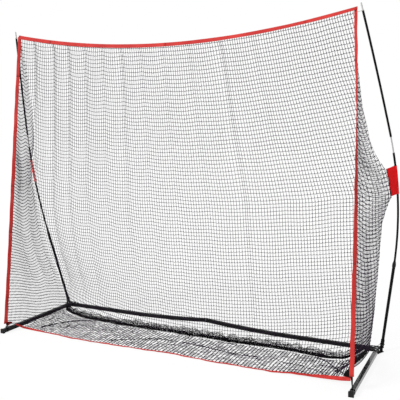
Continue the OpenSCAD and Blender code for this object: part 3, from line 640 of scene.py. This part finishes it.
def floor_net(name, side, seed):
    """The slack floor: its strands are drawn together in pairs that run from the roll to the hem."""
    columns, rows, spread = (54, 16, .15) if name == "left" else (55, 19, .20)
    i = np.arange(columns) / (columns - 1)
    x, v = np.meshgrid(1.223 * i * (1 + spread - spread * i), np.arange(rows) / (rows - 1))
    flat = np.stack([x * side, v * .42], -1)
    back, front = REAR + curve(x, ROLL_LINE[name]) - .010, hem_line(name, x)
    y = mix(back, front[..., 1] + .004, v)
    inner = np.sin(np.pi * v) ** .5 * np.clip((1.225 - x) / .05, 0, 1) * np.clip(x / .04, 0, 1)
    x = x + .0030 * ripple(flat * [1, .5], 5, .2, .5, seed) * inner
    if name == "left":      # finer crumples, where the slack is greatest
        x = x + .0034 * ripple(flat * [1, .35], 6, .03, .07, seed + 5) * inner
    y = y + .007 * ripple(flat, 6, .05, .2, seed + 1) * inner
    lumps = .0025 * (1 + ripple(flat, 7, .08, .3, seed + 2)) * inner
    z = .003 + v ** 2 * (front[..., 2] - .004) + lumps
    if name == "right":     # its outer edge is lifted by the side panel's bunched bottom
        lifted = curve(v, [(0, .060), (.3, .080), (.6, .110), (.85, .140), (1, .09)])
        z = mix(z, lifted, np.clip((x - 1.10) / .125, 0, 1) ** 1.2)
    z = np.maximum(z, FLOOR_CLEAR)
    draw = np.random.default_rng(seed + 3)
    apart = draw.uniform(.0008, .0038, x.shape) * np.where(np.arange(rows) % 2, 1, .4)[:, None]
    up = np.zeros(x.shape + (3,)) + [0, 0, 1]
    none, all_of = np.zeros((rows, columns - 1), bool), np.ones((rows - 1, columns), bool)
    strands = []
    for way in (-1, 1):
        strands.append(bars_of(np.stack([(x + way * apart) * side, y, z], -1), up, none, all_of))
    # the bars across are slack and lie askew
    knots = np.stack([x * side, y, z], -1)
    askew = draw.normal(0, .0025 if name == "right" else .0045, knots.shape) * [1, 1, 0]
    across = bars_of(knots + askew, up, draw.random(none.shape) < .7, ~all_of)
    return joined(*strands, across)


def bundle(line, wide, high, turns, seed, keep=.8):
    """Slack net drawn up along a line: strands wound loosely round it, and short bars between them."""
    draw = np.random.default_rng(seed)
    steps = len(line)
    way = unit(np.gradient(line, axis=0))
    knots = np.zeros((turns, steps, 3))
    for k in range(turns):
        angle = k * 1.02 + .35 * np.cumsum(draw.normal(0, .22, steps))
        share = np.clip(mix(1.0, .2, (k / turns) ** .8) + draw.normal(0, .05, steps), .12, 1)
        knots[k] = line
        knots[k, :, 2] += high * share * np.sin(angle)
        knots[k] += np.cross(way, [0, 0, 1]) * (wide * share * np.cos(angle))[:, None]
        knots[k] += way * draw.normal(0, .004, steps)[:, None]
    normal = unit(knots - line[None])
    return bars_of(knots, normal, np.ones((turns, steps - 1), bool), draw.random((turns - 1, steps)) < keep)


def crumple(line, rows, rise, spread, seed):
    """Net that stands crumpled on a line: its rows lie close together and wander in and out."""
    share = np.arange(rows)[:, None] / (rows - 1)
    places = np.stack(np.broadcast_arrays(run_along(line), .10 * share), -1)
    height = rise * share * (1 + .3 * ripple(places * [1, 0], 6, .03, .15, seed))
    knots = line + height[..., None] * [0, 0, 1]
    for axis, size in enumerate((.0035, spread, .0030)):
        knots[..., axis] += size * ripple(places, 8, .018, .07, seed + 1 + axis)
    normal = np.zeros(knots.shape) + [0, -1, .4]
    count = len(line)
    return bars_of(knots, normal, np.ones((rows, count - 1), bool), np.ones((rows - 1, count), bool))


def along(points, side, count, z=0.0):
    """Evenly spaced places along a line given as out, back from the bar and, where it rises, up."""
    rows = np.array(points, float)
    if rows.shape[1] == 2:
        rows = np.column_stack([rows, np.full(len(rows), z)])
    length = run_along(rows)
    at = np.linspace(0, length[-1], count)
    line = np.stack([np.interp(at, length, rows[:, k]) for k in range(3)], -1)
    return line * [side, 1, 1] + [0, REAR, 0]


# Folds in the floor, where its slack lies doubled: how many strands, and where they run
FOLDS = {"left": [(4, [(1.075, -.590), (1.045, -.500), (.985, -.395), (.916, -.323), (.806, -.285)]),
                  (2, [(.457, -.600), (.318, -.505), (.160, -.430), (.02, -.418)])],
         "right": [(2, [(.02, -.418), (.154, -.428), (.444, -.477), (.603, -.450)]),
                   (3, [(.93, -.300), (1.002, -.345), (1.071, -.423), (1.143, -.494)])]}

for name, side in SIDES:
    folds = []
    for strands, fold in FOLDS[name]:
        folds.append(bundle(along(fold, side, 22, .008), .006, .0036, strands, 50 + strands, .4))
    bars = joined(floor_net(name, side, 40 + side), *folds)
    net = twine_piece("net_floor_sheet_" + name, bars, thick=FLOOR_TWINE, knot=.0038)
    follow(net, "base", name + "_foot", *PULLS[name, "floor"])
    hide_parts("net_floor_" + name)

# The roll of slack net along the back of the floor: a bundle, with crumpled net standing on it
ROLL_END = 1.196
RIDGE_END = 1.17
for name, side in SIDES:
    x = np.linspace(0, ROLL_END, 70)
    t = x / ROLL_END
    lift = .045 * np.clip((x - 1.08) / .116, 0, 1) ** 1.5 * (name == "right")
    height = .0185 + lift + .0015 * np.sin(7 * x / .57)
    line = np.stack([x * side, REAR + curve(x, ROLL_LINE[name]), height], -1)
    wide = .018 + .003 * np.sin(t * 33) - .013 * t ** 7
    high = .0150 + .002 * np.cos(t * 25) - .011 * t ** 7
    at = np.linspace(0, RIDGE_END, 150)
    ridge = np.stack([at * side, REAR + curve(at, ROLL_LINE[name]) + .004, .016 + np.interp(at, x, lift)], -1)
    bars = joined(bundle(line, wide, high, 19, 70 + side), crumple(ridge, 5, .030, .008, 90 + side),
                  crumple(ridge + [0, .006, .012], 4, .030, .007, 104 + side))
    net = twine_piece("net_roll_bundle_" + name, bars, thick=.0026, knot=.0026, material=shade_painted_twine)
    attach(net, "base")
    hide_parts("net_roll_" + name)

# The right side panel's bottom edge is drawn up in a bunch, thick at the mouth and curled at the rear
BUNCH = [(1.238, -.728, .160), (1.238, -.60, .136), (1.236, -.44, .106), (1.230, -.28, .080)]
line = along(BUNCH, 1, 34)
t = np.linspace(0, 1, len(line))
bars = joined(bundle(line, mix(.007, .005, t), mix(.010, .006, t), 10, 81, .7),
              crumple(line[2:] - [0, 0, .004], 3, .024, .006, 93))
net = twine_piece("net_side_bunch_right", bars, thick=.0030, material=shade_painted_twine)
follow(net, "base", "right_foot", *PULLS["right", "low"])
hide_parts("net_side_right")


# ------------------------------------------------------------
# Hems
# Red woven polyester webbing, 50 mm wide, folded over the net's edge to 25 mm
# and sewn down. It twists along the mouth's sides and lies nearly flat below.
# ------------------------------------------------------------

red_webbing, tree = empty_finish("red woven webbing")
strand = add(tree, "ShaderNodeUVMap", uv_map="weave"), "UV"
# ribs of the weave lie 1.5 mm apart, drawn at 3 mm so that they show
ribs = add(tree, "ShaderNodeTexWave", {"Vector": strand, "Scale": 1 / 0.003 / 2, "Distortion": 0.6,
                                       "Detail": 1.0, "Detail Scale": 2.0}, bands_direction="X"), "Fac"
place = add(tree, "ShaderNodeTexCoord"), "Object"
wear = add(tree, "ShaderNodeTexNoise", {"Vector": place, "Scale": 1 / 0.11, "Detail": 4.0}), "Fac"
bump = add(tree, "ShaderNodeBump", {"Height": ribs, "Strength": 0.45, "Distance": 0.0006})
# woven polyester: a clear red with a dull sheen, mixed towards a darker red between the ribs, painted shade
# in the weave's grooves
gap = add(tree, "ShaderNodeMapRange", {"Value": ribs, "To Min": 0.0, "To Max": 0.3})
crown = add(tree, "ShaderNodeValToRGB", {"Fac": wear}, ((0.35, "#C8201D"), (0.65, "#E0362F")))
colour = add(tree, "ShaderNodeMixRGB", {
    "Fac": (gap, "Result"), "Color1": (crown, "Color"), "Color2": linear("#8E1513")})
shader = add(tree, "ShaderNodeBsdfPrincipled", {
    "Base Color": (colour, "Color"), "Roughness": 0.72, "Normal": (bump, "Normal"),
    "Sheen Weight": 0.25, "Sheen Roughness": 0.4, "Sheen Tint": linear("#FF8A80")})
add(tree, "ShaderNodeOutputMaterial", {"Surface": (shader, "BSDF")})


def ring_faces(rings, count, closed=False):
    """The faces of a tube through rings of points, with flat ends unless it closes on itself."""
    faces = []
    for s in range(rings if closed else rings - 1):
        n = (s + 1) % rings
        for k in range(count):
            m = (k + 1) % count
            faces.append((s * count + k, s * count + m, n * count + m, n * count + k))
    if not closed:
        last = (rings - 1) * count
        faces += [tuple(range(count))[::-1], tuple(last + k for k in range(count))]
    return faces


# The band's outline, as shares of its half width, of its half thickness inwards, and of that outwards
BAND = [(-1, 0, 0), (-1, .5, -.85), (-1, 1.6, -1), (0, 0, -.9), (1, -1.6, -1), (1, -.5, -.85), (1, 0, 0),
        (1, -.5, .85), (1, -1.6, 1), (0, 0, .9), (-1, 1.6, 1), (-1, .5, .85)]


def band(name, line, across, over, width, thick, material=red_webbing):
    """Webbing: a flat closed band with rolled edges, swept along a line."""
    line, across, over = np.asarray(line), unit(np.asarray(across)), unit(np.asarray(over))
    half, deep = np.broadcast_to(width, len(line))[:, None] / 2, thick / 2
    points = np.stack([line + across * (a * half + b * deep) + over * c * deep for a, b, c in BAND], 1)
    count = len(BAND)
    made = solid(name, points.reshape(-1, 3), ring_faces(len(line), count), material)
    mesh = made.data
    layer = mesh.uv_layers.new(name="weave")
    where = np.zeros(len(mesh.loops), int)
    mesh.loops.foreach_get("vertex_index", where)
    edge = np.array([a for a, _, _ in BAND])
    uv = np.stack([run_along(line)[where // count], edge[where % count] * HEM_WIDTH / 2], -1)
    layer.data.foreach_set("uv", uv.astype(np.float32).ravel())
    # flat end caps keep the shading even where two stretches of hem meet
    mesh.polygons.foreach_set("use_smooth", np.arange(len(mesh.polygons)) < len(mesh.polygons) - 2)
    mesh.update()
    return made


# The side hems twist: which way the band faces, in degrees from facing the front, by height
HEM_TURN = {"left": [(.03, 125), (.5, 128), (1.0, 140), (1.5, 155), (2.1, 160)],
            "right": [(.08, 12), (.5, 14), (.69, 38), (.95, 50), (1.15, 62), (1.28, 70), (1.40, 88),
                      (1.53, 104), (1.70, 122), (1.80, 133), (2.1, 145)]}
# The bottom hem tips up towards the corners, and slack net covers part of it in between
HEM_TILT = {"left": [(0, 6), (.8, 8), (1.0, 14), (1.1, 24), (1.24, 45)],
            "right": [(0, 6), (.7, 8), (.82, 14), (.95, 28), (1.1, 48), (1.24, 72)]}
HEM_SHOWN = {"left": [(0, .012), (.8, .012), (1.0, .014), (1.1, .017), (1.18, .018), (1.226, .012)],
             "right": [(0, .012), (.7, .013), (.85, .015), (1.0, .020), (1.1, .024), (1.24, .025)]}
CORNER_CUT = 1.83


def hem_stretch(low, high, step=.02):
    """Evenly spaced stations along a hem, both ends among them."""
    return np.linspace(low, high, max(2, int((high - low) / step) + 1))


def pieces_of(low, high, cuts):
    """Stations along a hem in stretches that meet exactly."""
    marks = [low] + [c for c in cuts if low < c < high] + [high]
    return [hem_stretch(a, b) for a, b in zip(marks[:-1], marks[1:])]


for name, side in SIDES:
    flip = np.array([side, 1, 1])
    foot, pole, rod = name + "_foot", name + "_pole", name + "_rod"
    runs = pieces_of(HEM_FOOT[name], HEM_TOP - .004, (SEAM_FOOT, SEAM_POLE, CORNER_CUT))
    rows = (("lower", "base", foot, "low"), ("middle", "base", pole, "middle"),
            ("upper", "base", pole, "upper"), ("corner", pole, rod, "corner"))
    for z, (part, a, b, key) in zip(runs, rows):
        line = mouth(z)
        turn = np.radians(curve(z, HEM_TURN[name])) + .05 * np.sin(z * 21) + .04 * np.sin(z * 47)
        line[:, 0] += .0010 * np.sin(z * 37)
        across = np.stack([np.cos(turn), np.sin(turn), 0 * z], -1) * flip
        over = np.stack([np.sin(turn), -np.cos(turn), 0 * z], -1) * flip
        made = band(f"side_hem_{part}_{name}", line * flip, across, over, HEM_WIDTH, HEM_THICK)
        follow(made, a, b, *PULLS[name, key])
        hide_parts("hem_side_" + name)

    # top hem: from the middle to the corner, leaning back more and more towards the right
    runs = pieces_of(0.0, FOOT_X - .064, (.9,))
    rows = (("middle", "base", pole, "upper"), ("corner", pole, rod, "corner"))
    for x, (part, a, b, key) in zip(runs, rows):
        line = np.stack([x * side, REAR - TOP_REACH + 0 * x, hem_height(x * side)], -1)
        lean = curve(x * side, [(-1.2, .05), (0, .25), (1.2, .65)]) + .06 * np.sin(x * 17)
        slope = np.gradient(line[:, 2]) / np.gradient(line[:, 0])
        across = unit(np.stack([-slope * np.cos(lean), np.sin(lean), np.cos(lean)], -1))
        over = np.cross(unit(np.gradient(line, axis=0)), across) * side
        made = band(f"top_hem_{part}_{name}", line, across, over, HEM_WIDTH, HEM_THICK)
        follow(made, a, b, *PULLS[name, key])
        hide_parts("hem_top")

    # bottom hem: it lies nearly flat on the ground and lifts and tips up towards the corner
    x = hem_stretch(0.0, HEM_PATH[name][-1][0], .015)
    tilt = np.radians(curve(x, HEM_TILT[name]) + 7 * np.sin(x * 19) + 5 * np.sin(x * 43 + 1))
    shown = curve(x, HEM_SHOWN[name])
    line = hem_line(name, x) * flip
    line[:, 2] = np.maximum(line[:, 2], shown / 2 * np.abs(np.sin(tilt)) + HEM_THICK / 2 + .0003)
    across = np.stack([0 * x, np.cos(tilt), np.sin(tilt)], -1)
    over = np.stack([0 * x, np.sin(tilt), -np.cos(tilt)], -1)
    made = band(f"bottom_hem_{name}_half", line, across, over, shown, HEM_THICK)
    follow(made, "base", foot, *PULLS[name, "floor"])
    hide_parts("hem_bottom_" + name)

# The bottom hem's left end is folded up over the foot in a wedge
outline = np.array([(-.757, .078), (-.684, .054), (-.690, .049), (-.742, .037), (-.752, .052)])
line = np.column_stack([np.full(5, -FOOT_X - .001), REAR + outline[:, 0], outline[:, 1]])
points = np.concatenate([line, line + [-.0025, 0, 0]])
faces = [(0, 1, 2, 3, 4), (9, 8, 7, 6, 5)] + [(k, k + 5, (k + 1) % 5 + 5, (k + 1) % 5) for k in range(5)]
made = solid("bottom_hem_end_folded", points, faces, red_webbing)
follow(made, "base", "left_foot", *PULLS["left", "floor"])
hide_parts("hem_bottom_left")


# ------------------------------------------------------------
# Corner patches, elastic straps and rear ties
# A black nylon patch stiffens each lower corner, an elastic loop ties it to the
# foot's front end, and a thin cord ties the bag's rear corner to the socket.
# ------------------------------------------------------------

def soft_black(name, dark, light, roughness, rib_mm):
    """Webbing, elastic or braid: matt, with fine ribs across it."""
    material, tree = empty_finish(name)
    place = add(tree, "ShaderNodeTexCoord"), "Object"
    ribs = add(tree, "ShaderNodeTexWave", {"Vector": place, "Scale": 1000 / rib_mm / 2, "Distortion": 0.8},
               bands_direction="Z"), "Fac"
    cloud = add(tree, "ShaderNodeTexNoise", {"Vector": place, "Scale": 1 / 0.02, "Detail": 3.0}), "Fac"
    colour = add(tree, "ShaderNodeValToRGB", {"Fac": cloud}, ((0.35, dark), (0.65, light)))
    bump = add(tree, "ShaderNodeBump", {"Height": ribs, "Strength": 0.4, "Distance": 0.0004})
    shader = add(tree, "ShaderNodeBsdfPrincipled", {
        "Base Color": (colour, "Color"), "Roughness": roughness, "Normal": (bump, "Normal"),
        "Specular IOR Level": 0.1})
    add(tree, "ShaderNodeOutputMaterial", {"Surface": (shader, "BSDF")})
    return material


patch_nylon = soft_black("black nylon patch", "#050506", "#0C0C0D", 0.75, 1.6)
elastic = soft_black("black woven elastic", "#0A0A0B", "#151516", 0.7, 1.8)
tie_braid = soft_black("grey braided cord", "#3C3C3E", "#565658", 0.7, 1.2)
pale_elastic = soft_black("pale elastic cord", "#CFCFC9", "#E2E2DC", 0.65, 1.2)

PATCH = np.array([(-.038, 0, 0), (-.018, 0, -.002), (0, 0, 0), (.001, 0, .028), (0, 0, .050),
                  (-.010, 0, .044), (-.027, 0, .023)])
PATCH_SIZE = {"left": .4, "right": 1.2}      # slack net and the hem hide most of the left one
PATCH_THICK = .002
STRAP_WIDE, STRAP_THICK = .012, .0016
STRAP_Y = REAR - .8 + .042 + STRAP_WIDE / 2  # 42 mm behind the foot's front end
FOOT_Z = .0153                               # height of the foot's axis
STRAP_HALF = .0128 + STRAP_THICK / 2         # half the foot's side with a little room, and half the strap

for name, side in SIDES:
    flip = np.array([side, 1, 1])
    corner = mouth(np.array(HEM_FOOT[name]))
    outline = (corner + [-.004, .006, -.006] + PATCH * PATCH_SIZE[name]) * flip
    count = len(PATCH)
    points = np.concatenate([outline - [0, PATCH_THICK / 2, 0], outline + [0, PATCH_THICK / 2, 0]])
    faces = [tuple(range(count))[::-1], tuple(range(count, 2 * count))]
    faces += [(k, (k + 1) % count, count + (k + 1) % count, count + k) for k in range(count)]
    made = solid("corner_patch_sewn_" + name, points, faces, patch_nylon)
    follow(made, "base", name + "_foot", *PULLS[name, "low"])
    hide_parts("corner_patch_" + name)

    # elastic loop round the foot, and its standing part up to the hem's corner
    ring = []
    for cx, cz, start in ((1, 1, 0), (-1, 1, 90), (-1, -1, 180), (1, -1, 270)):
        for angle in np.radians(start + np.array([0, 45, 90])):
            ring.append((cx * (STRAP_HALF - .002) + .002 * np.cos(angle),
                         cz * (STRAP_HALF - .002) + .002 * np.sin(angle)))
    ring = np.array(ring + ring[:1])
    line = np.stack([side * (FOOT_X + ring[:, 0]), np.full(len(ring), STRAP_Y), FOOT_Z + ring[:, 1]], -1)
    outward = np.stack([side * ring[:, 0], 0 * ring[:, 0], ring[:, 1]], -1)
    loop = band("elastic_loop_" + name, line, np.tile([0, 1, 0], (len(line), 1)), outward,
                STRAP_WIDE, STRAP_THICK, elastic)
    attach(loop, name + "_foot")
    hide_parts("corner_strap_" + name)
    t = np.linspace(0, 1, 7)[:, None]
    line = mix(np.array([FOOT_X - .002, STRAP_Y, FOOT_Z + STRAP_HALF]), corner + [-.001, .002, .006], t)
    line[:, 1] += .002 * np.sin(np.pi * t[:, 0])
    across = mix(np.array([0, 1, 0.]), np.array([.94, .34, 0.]), t)
    over = np.cross(unit(np.gradient(line, axis=0)), unit(across))
    rise = band("elastic_rise_" + name, line * flip, across * flip, over * flip,
                STRAP_WIDE, STRAP_THICK, elastic)
    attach(rise, name + "_foot")
    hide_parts("corner_strap_" + name)


POLE_ROOT = np.array([FOOT_X + .026, REAR + .0114, .0306])
POLE_SPLAY, POLE_LEAN = 7.76, 13.05          # degrees outwards and forwards
POLE_TURN = (Matrix.Rotation(math.radians(POLE_SPLAY), 3, "Y")
             @ Matrix.Rotation(math.radians(POLE_LEAN), 3, "X"))
TIE_RADIUS = .0015
# the pole tube's radius, the gap round it, the socket's wall, the cord's radius and a little room
TIE_RING = .0188 / 2 + .0003 + .0023 + .0015 + .0002


def round_cord(name, line, radius, material, sides=8, closed=False):
    """A round cord along a line of points."""
    line = np.asarray(line, float)
    way = unit(np.roll(line, -1, 0) - np.roll(line, 1, 0) if closed else np.gradient(line, axis=0))
    side = unit(np.cross(way, [0.31, 0.2, 0.93]))
    up = np.cross(side, way)
    angles = np.linspace(0, 2 * np.pi, sides, endpoint=False)[None, :, None]
    points = line[:, None] + radius * (np.cos(angles) * side[:, None] + np.sin(angles) * up[:, None])
    return solid(name, points.reshape(-1, 3), ring_faces(len(line), sides, closed), material)


for name, side in SIDES:
    flip = np.array([side, 1, 1])
    way = np.array(POLE_TURN @ Vector((0, 0, 1)))
    a = unit(np.cross(way, [0, 1, 0]))
    b = np.cross(way, a)
    angles = np.linspace(0, 2 * np.pi, 40, endpoint=False)[:, None]
    ring = POLE_ROOT + way * .024 + TIE_RING * (np.cos(angles) * a + np.sin(angles) * b)
    made = round_cord("rear_tie_loop_" + name, ring * flip, TIE_RADIUS, tie_braid, closed=True)
    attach(made, "base")
    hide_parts("rear_tie_" + name)
    top = POLE_ROOT + [-.008, -.0136, .0228]
    low = crest(np.array(BAG_BOTTOM)) + [.003, .012, .002]
    t = np.linspace(0, 1, 15)[:, None]
    line = mix(top, low, t)
    line[:, 2] -= .0045 * np.sin(np.pi * t[:, 0])
    line = line * flip
    made = round_cord("rear_tie_cord_" + name, line, TIE_RADIUS, tie_braid)
    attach(made, "base")
    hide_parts("rear_tie_" + name)


# ------------------------------------------------------------
# Pole tabs and top loops
# A red coated-cloth tab wraps each pole at 1.15 m and pulls the net out to it;
# a loop of pale cord at each top corner slips over the rod's bare tip.
# ------------------------------------------------------------

red_cloth, tree = empty_finish("red coated cloth")
place = add(tree, "ShaderNodeTexCoord"), "Object"
weave = add(tree, "ShaderNodeTexNoise", {"Vector": place, "Scale": 1 / 0.0016, "Detail": 2.0}), "Fac"
crease = add(tree, "ShaderNodeTexNoise", {"Vector": place, "Scale": 1 / 0.035, "Detail": 2.0}), "Fac"
fine = add(tree, "ShaderNodeBump", {"Height": weave, "Strength": 0.15, "Distance": 0.0003})
bump = add(tree, "ShaderNodeBump", {"Height": crease, "Strength": 0.5, "Distance": 0.006,
                                    "Normal": (fine, "Normal")})
# PVC-coated polyester: a strong red, smooth but for its creases; the red is a little darker in their hollows
# and brighter on their crowns, painted shade and highlight
colour = add(tree, "ShaderNodeValToRGB", {"Fac": crease}, ((0.35, "#F20308"), (0.65, "#FF0A10")))
gloss = add(tree, "ShaderNodeMapRange", {"Value": weave, "To Min": 0.2, "To Max": 0.3})
shader = add(tree, "ShaderNodeBsdfPrincipled", {
    "Base Color": (colour, "Color"), "Roughness": (gloss, "Result"), "Normal": (bump, "Normal"),
    "Specular IOR Level": 0.15})
add(tree, "ShaderNodeOutputMaterial", {"Surface": (shader, "BSDF")})

BOW_TURN = 200.2                  # degrees round the pole to the side it bows towards
# Along the pole, from its root: the bow's two stretches and their radii, and each tab's place
BOW_START, BOW_END = .608, 1.475
LOWER_RADIUS, UPPER_RADIUS = 2.769, 20.54
TAB_START, TAB_LENGTH = {"left": 1.058, "right": 1.087}, .178
TAB_TURN = math.radians(30)       # the flap points this far forward, towards the net
TAB_THICK = .0021
ROD_RADIUS = .0127 / 2
TIP_AT = 2.1803


def pole_frame(s):
    """The right pole's place and its three directions at each distance up it."""
    turn = np.array(POLE_TURN @ Matrix.Rotation(math.radians(BOW_TURN), 3, "Z"))
    places, frames = [], []
    for length in np.atleast_1d(s):
        local, angle = np.array([0, 0, min(length, BOW_START)]), 0.0
        for radius, start, end in ((LOWER_RADIUS, BOW_START, BOW_END), (UPPER_RADIUS, BOW_END, 9.0)):
            run = min(max(length - start, 0), end - start)
            if run > 0:
                bend = run / radius
                step = np.array([radius * (1 - math.cos(bend)), 0, radius * math.sin(bend)])
                c, w = math.cos(angle), math.sin(angle)
                local = local + np.array([c * step[0] + w * step[2], 0, -w * step[0] + c * step[2]])
                angle += bend
        c, w = math.cos(angle), math.sin(angle)
        places.append(POLE_ROOT + turn @ local)
        frames.append(turn @ np.array([[c, 0, w], [0, 1, 0], [-w, 0, c]]))
    return np.array(places), np.array(frames)


for name, side in SIDES:
    flip = np.array([side, 1, 1])
    # tab: cloth wrapped round the pole, its two ends sewn together as a flap towards the net
    lengths = TAB_START[name] + np.linspace(0, TAB_LENGTH, 22)
    places, frames = pole_frame(lengths)
    c, w = math.cos(TAB_TURN), math.sin(TAB_TURN)
    outer = ROD_RADIUS + .0004 + TAB_THICK
    points = []
    for k, v in enumerate(np.linspace(0, 1, len(lengths))):
        reach = mix(.052, .066, v) - .003 * math.sin(math.pi * v)
        # the outline across the pole: the flap's two plies, and the wrap between them
        near = [(reach, .0012), (reach * .72, .0016), (reach * .45, .0026)]
        far = [(outer * math.cos(a), outer * math.sin(a)) for a in np.radians(np.linspace(38, 322, 18))]
        profile = np.array(near + far + [(a, -b) for a, b in near[::-1]])
        out, over = profile.T
        # the flap sags at its lower corner
        sag = -.004 * (1 - v) * np.clip(out / reach, 0, 1)
        points.append(places[k] + np.stack([c * out - w * over, w * out + c * over, sag], -1) @ frames[k].T)
    points = np.array(points)
    made = solid("tab_wrapped_" + name, points.reshape(-1, 3) * flip, ring_faces(*points.shape[:2]),
                 red_cloth)
    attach(made, name + "_pole")
    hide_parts("pole_tab_" + name)
    # black piping along the flap's free end, where the net is sewn in
    line = (points[:, 0] + points[:, -1]) / 2 * flip
    made = round_cord("tab_piping_" + name, line, .0017, patch_nylon)
    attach(made, name + "_pole")
    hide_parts("pole_tab_" + name)

    # top loop: pale elastic cord round the rod's bare tip, closed at the hem's corner
    place, axes = pole_frame(TIP_AT + .0014)
    leg, reach, radius = .0059, .024, .0012
    half_turn = np.radians(np.linspace(90, 270, 13))
    near = np.stack([leg * np.cos(half_turn), leg * np.sin(half_turn)], -1)
    path = np.concatenate([near, [reach, 0] - near])
    line = place[0] + np.column_stack([path, np.zeros(len(path))]) @ axes[0].T
    made = round_cord("top_loop_cord_" + name, line * flip, radius, pale_elastic, closed=True)
    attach(made, name + "_rod")
    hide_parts("top_loop_" + name)


# ------------------------------------------------------------
# Floor, light and camera
# A plain pale floor and backdrop under even studio light.
# ------------------------------------------------------------

def seen(tree):
    """1 where the camera sees a thing, itself or mirrored, and 0 where it only lights the scene."""
    path = add(tree, "ShaderNodeLightPath")
    rays = add(tree, "ShaderNodeMath", {0: (path, "Is Camera Ray"), 1: (path, "Is Glossy Ray")},
               operation="MAXIMUM")
    rays = add(tree, "ShaderNodeMath", {0: (rays, "Value"), 1: (path, "Is Transmission Ray")},
               operation="MAXIMUM")
    return rays, "Value"


# matt white that the camera sees near white, with the object's shadow still on it
pale_floor, tree = empty_finish("pale floor")
share = add(tree, "ShaderNodeMath", {0: seen(tree), 1: 0.80}, operation="MULTIPLY")
matt = add(tree, "ShaderNodeBsdfDiffuse", {"Color": (.82, .82, .82, 1)})
glow = add(tree, "ShaderNodeEmission", {"Color": (1, 1, 1, 1), "Strength": 1.1})
mixed = add(tree, "ShaderNodeMixShader", {
    "Fac": (share, "Value"), 1: (matt, "BSDF"), 2: (glow, "Emission")})
add(tree, "ShaderNodeOutputMaterial", {"Surface": (mixed, "Shader")})

mesh = bpy.data.meshes.new("studio_floor")
corners = [(x, y, -.0005) for x, y in ((-40, -40), (40, -40), (40, 40), (-40, 40))]
mesh.from_pydata(corners, [], [(0, 1, 2, 3)])
floor = bpy.data.objects.new("studio_floor", mesh)
mesh.materials.append(pale_floor)
bpy.context.scene.collection.objects.link(floor)

world = bpy.data.worlds.new("studio")
bpy.context.scene.world = world
world.use_nodes = True
tree = world.node_tree
tree.nodes.clear()
plain = add(tree, "ShaderNodeBackground", {"Color": (1, 1, 1, 1), "Strength": 0.48})
white = add(tree, "ShaderNodeBackground", {"Color": (1, 1, 1, 1), "Strength": 1.0})
mixed = add(tree, "ShaderNodeMixShader", {
    "Fac": seen(tree), 1: (plain, "Background"), 2: (white, "Background")})
add(tree, "ShaderNodeOutputWorld", {"Surface": (mixed, "Shader")})

sun = bpy.data.objects.new("key light", bpy.data.lights.new("key light", "SUN"))
sun.data.energy, sun.data.angle = 2.1, math.radians(15)
sun.rotation_euler = Vector((-0.45, -0.75, 0.5)).to_track_quat("Z", "Y").to_euler()
bpy.context.scene.collection.objects.link(sun)

camera = bpy.data.objects.new("camera", bpy.data.cameras.new("camera"))
camera.data.lens, camera.data.sensor_width = 56.61, 36.0
azimuth, pitch = 0.45, 0.113
forward = (-math.sin(azimuth) * math.cos(pitch), math.cos(azimuth) * math.cos(pitch), -math.sin(pitch))
camera.location = (1.9434, -3.7448, 1.4656)
camera.rotation_euler = Vector(forward).to_track_quat("-Z", "Y").to_euler()
bpy.context.scene.collection.objects.link(camera)
bpy.context.scene.camera = camera
bpy.context.scene.view_settings.view_transform = "Standard"
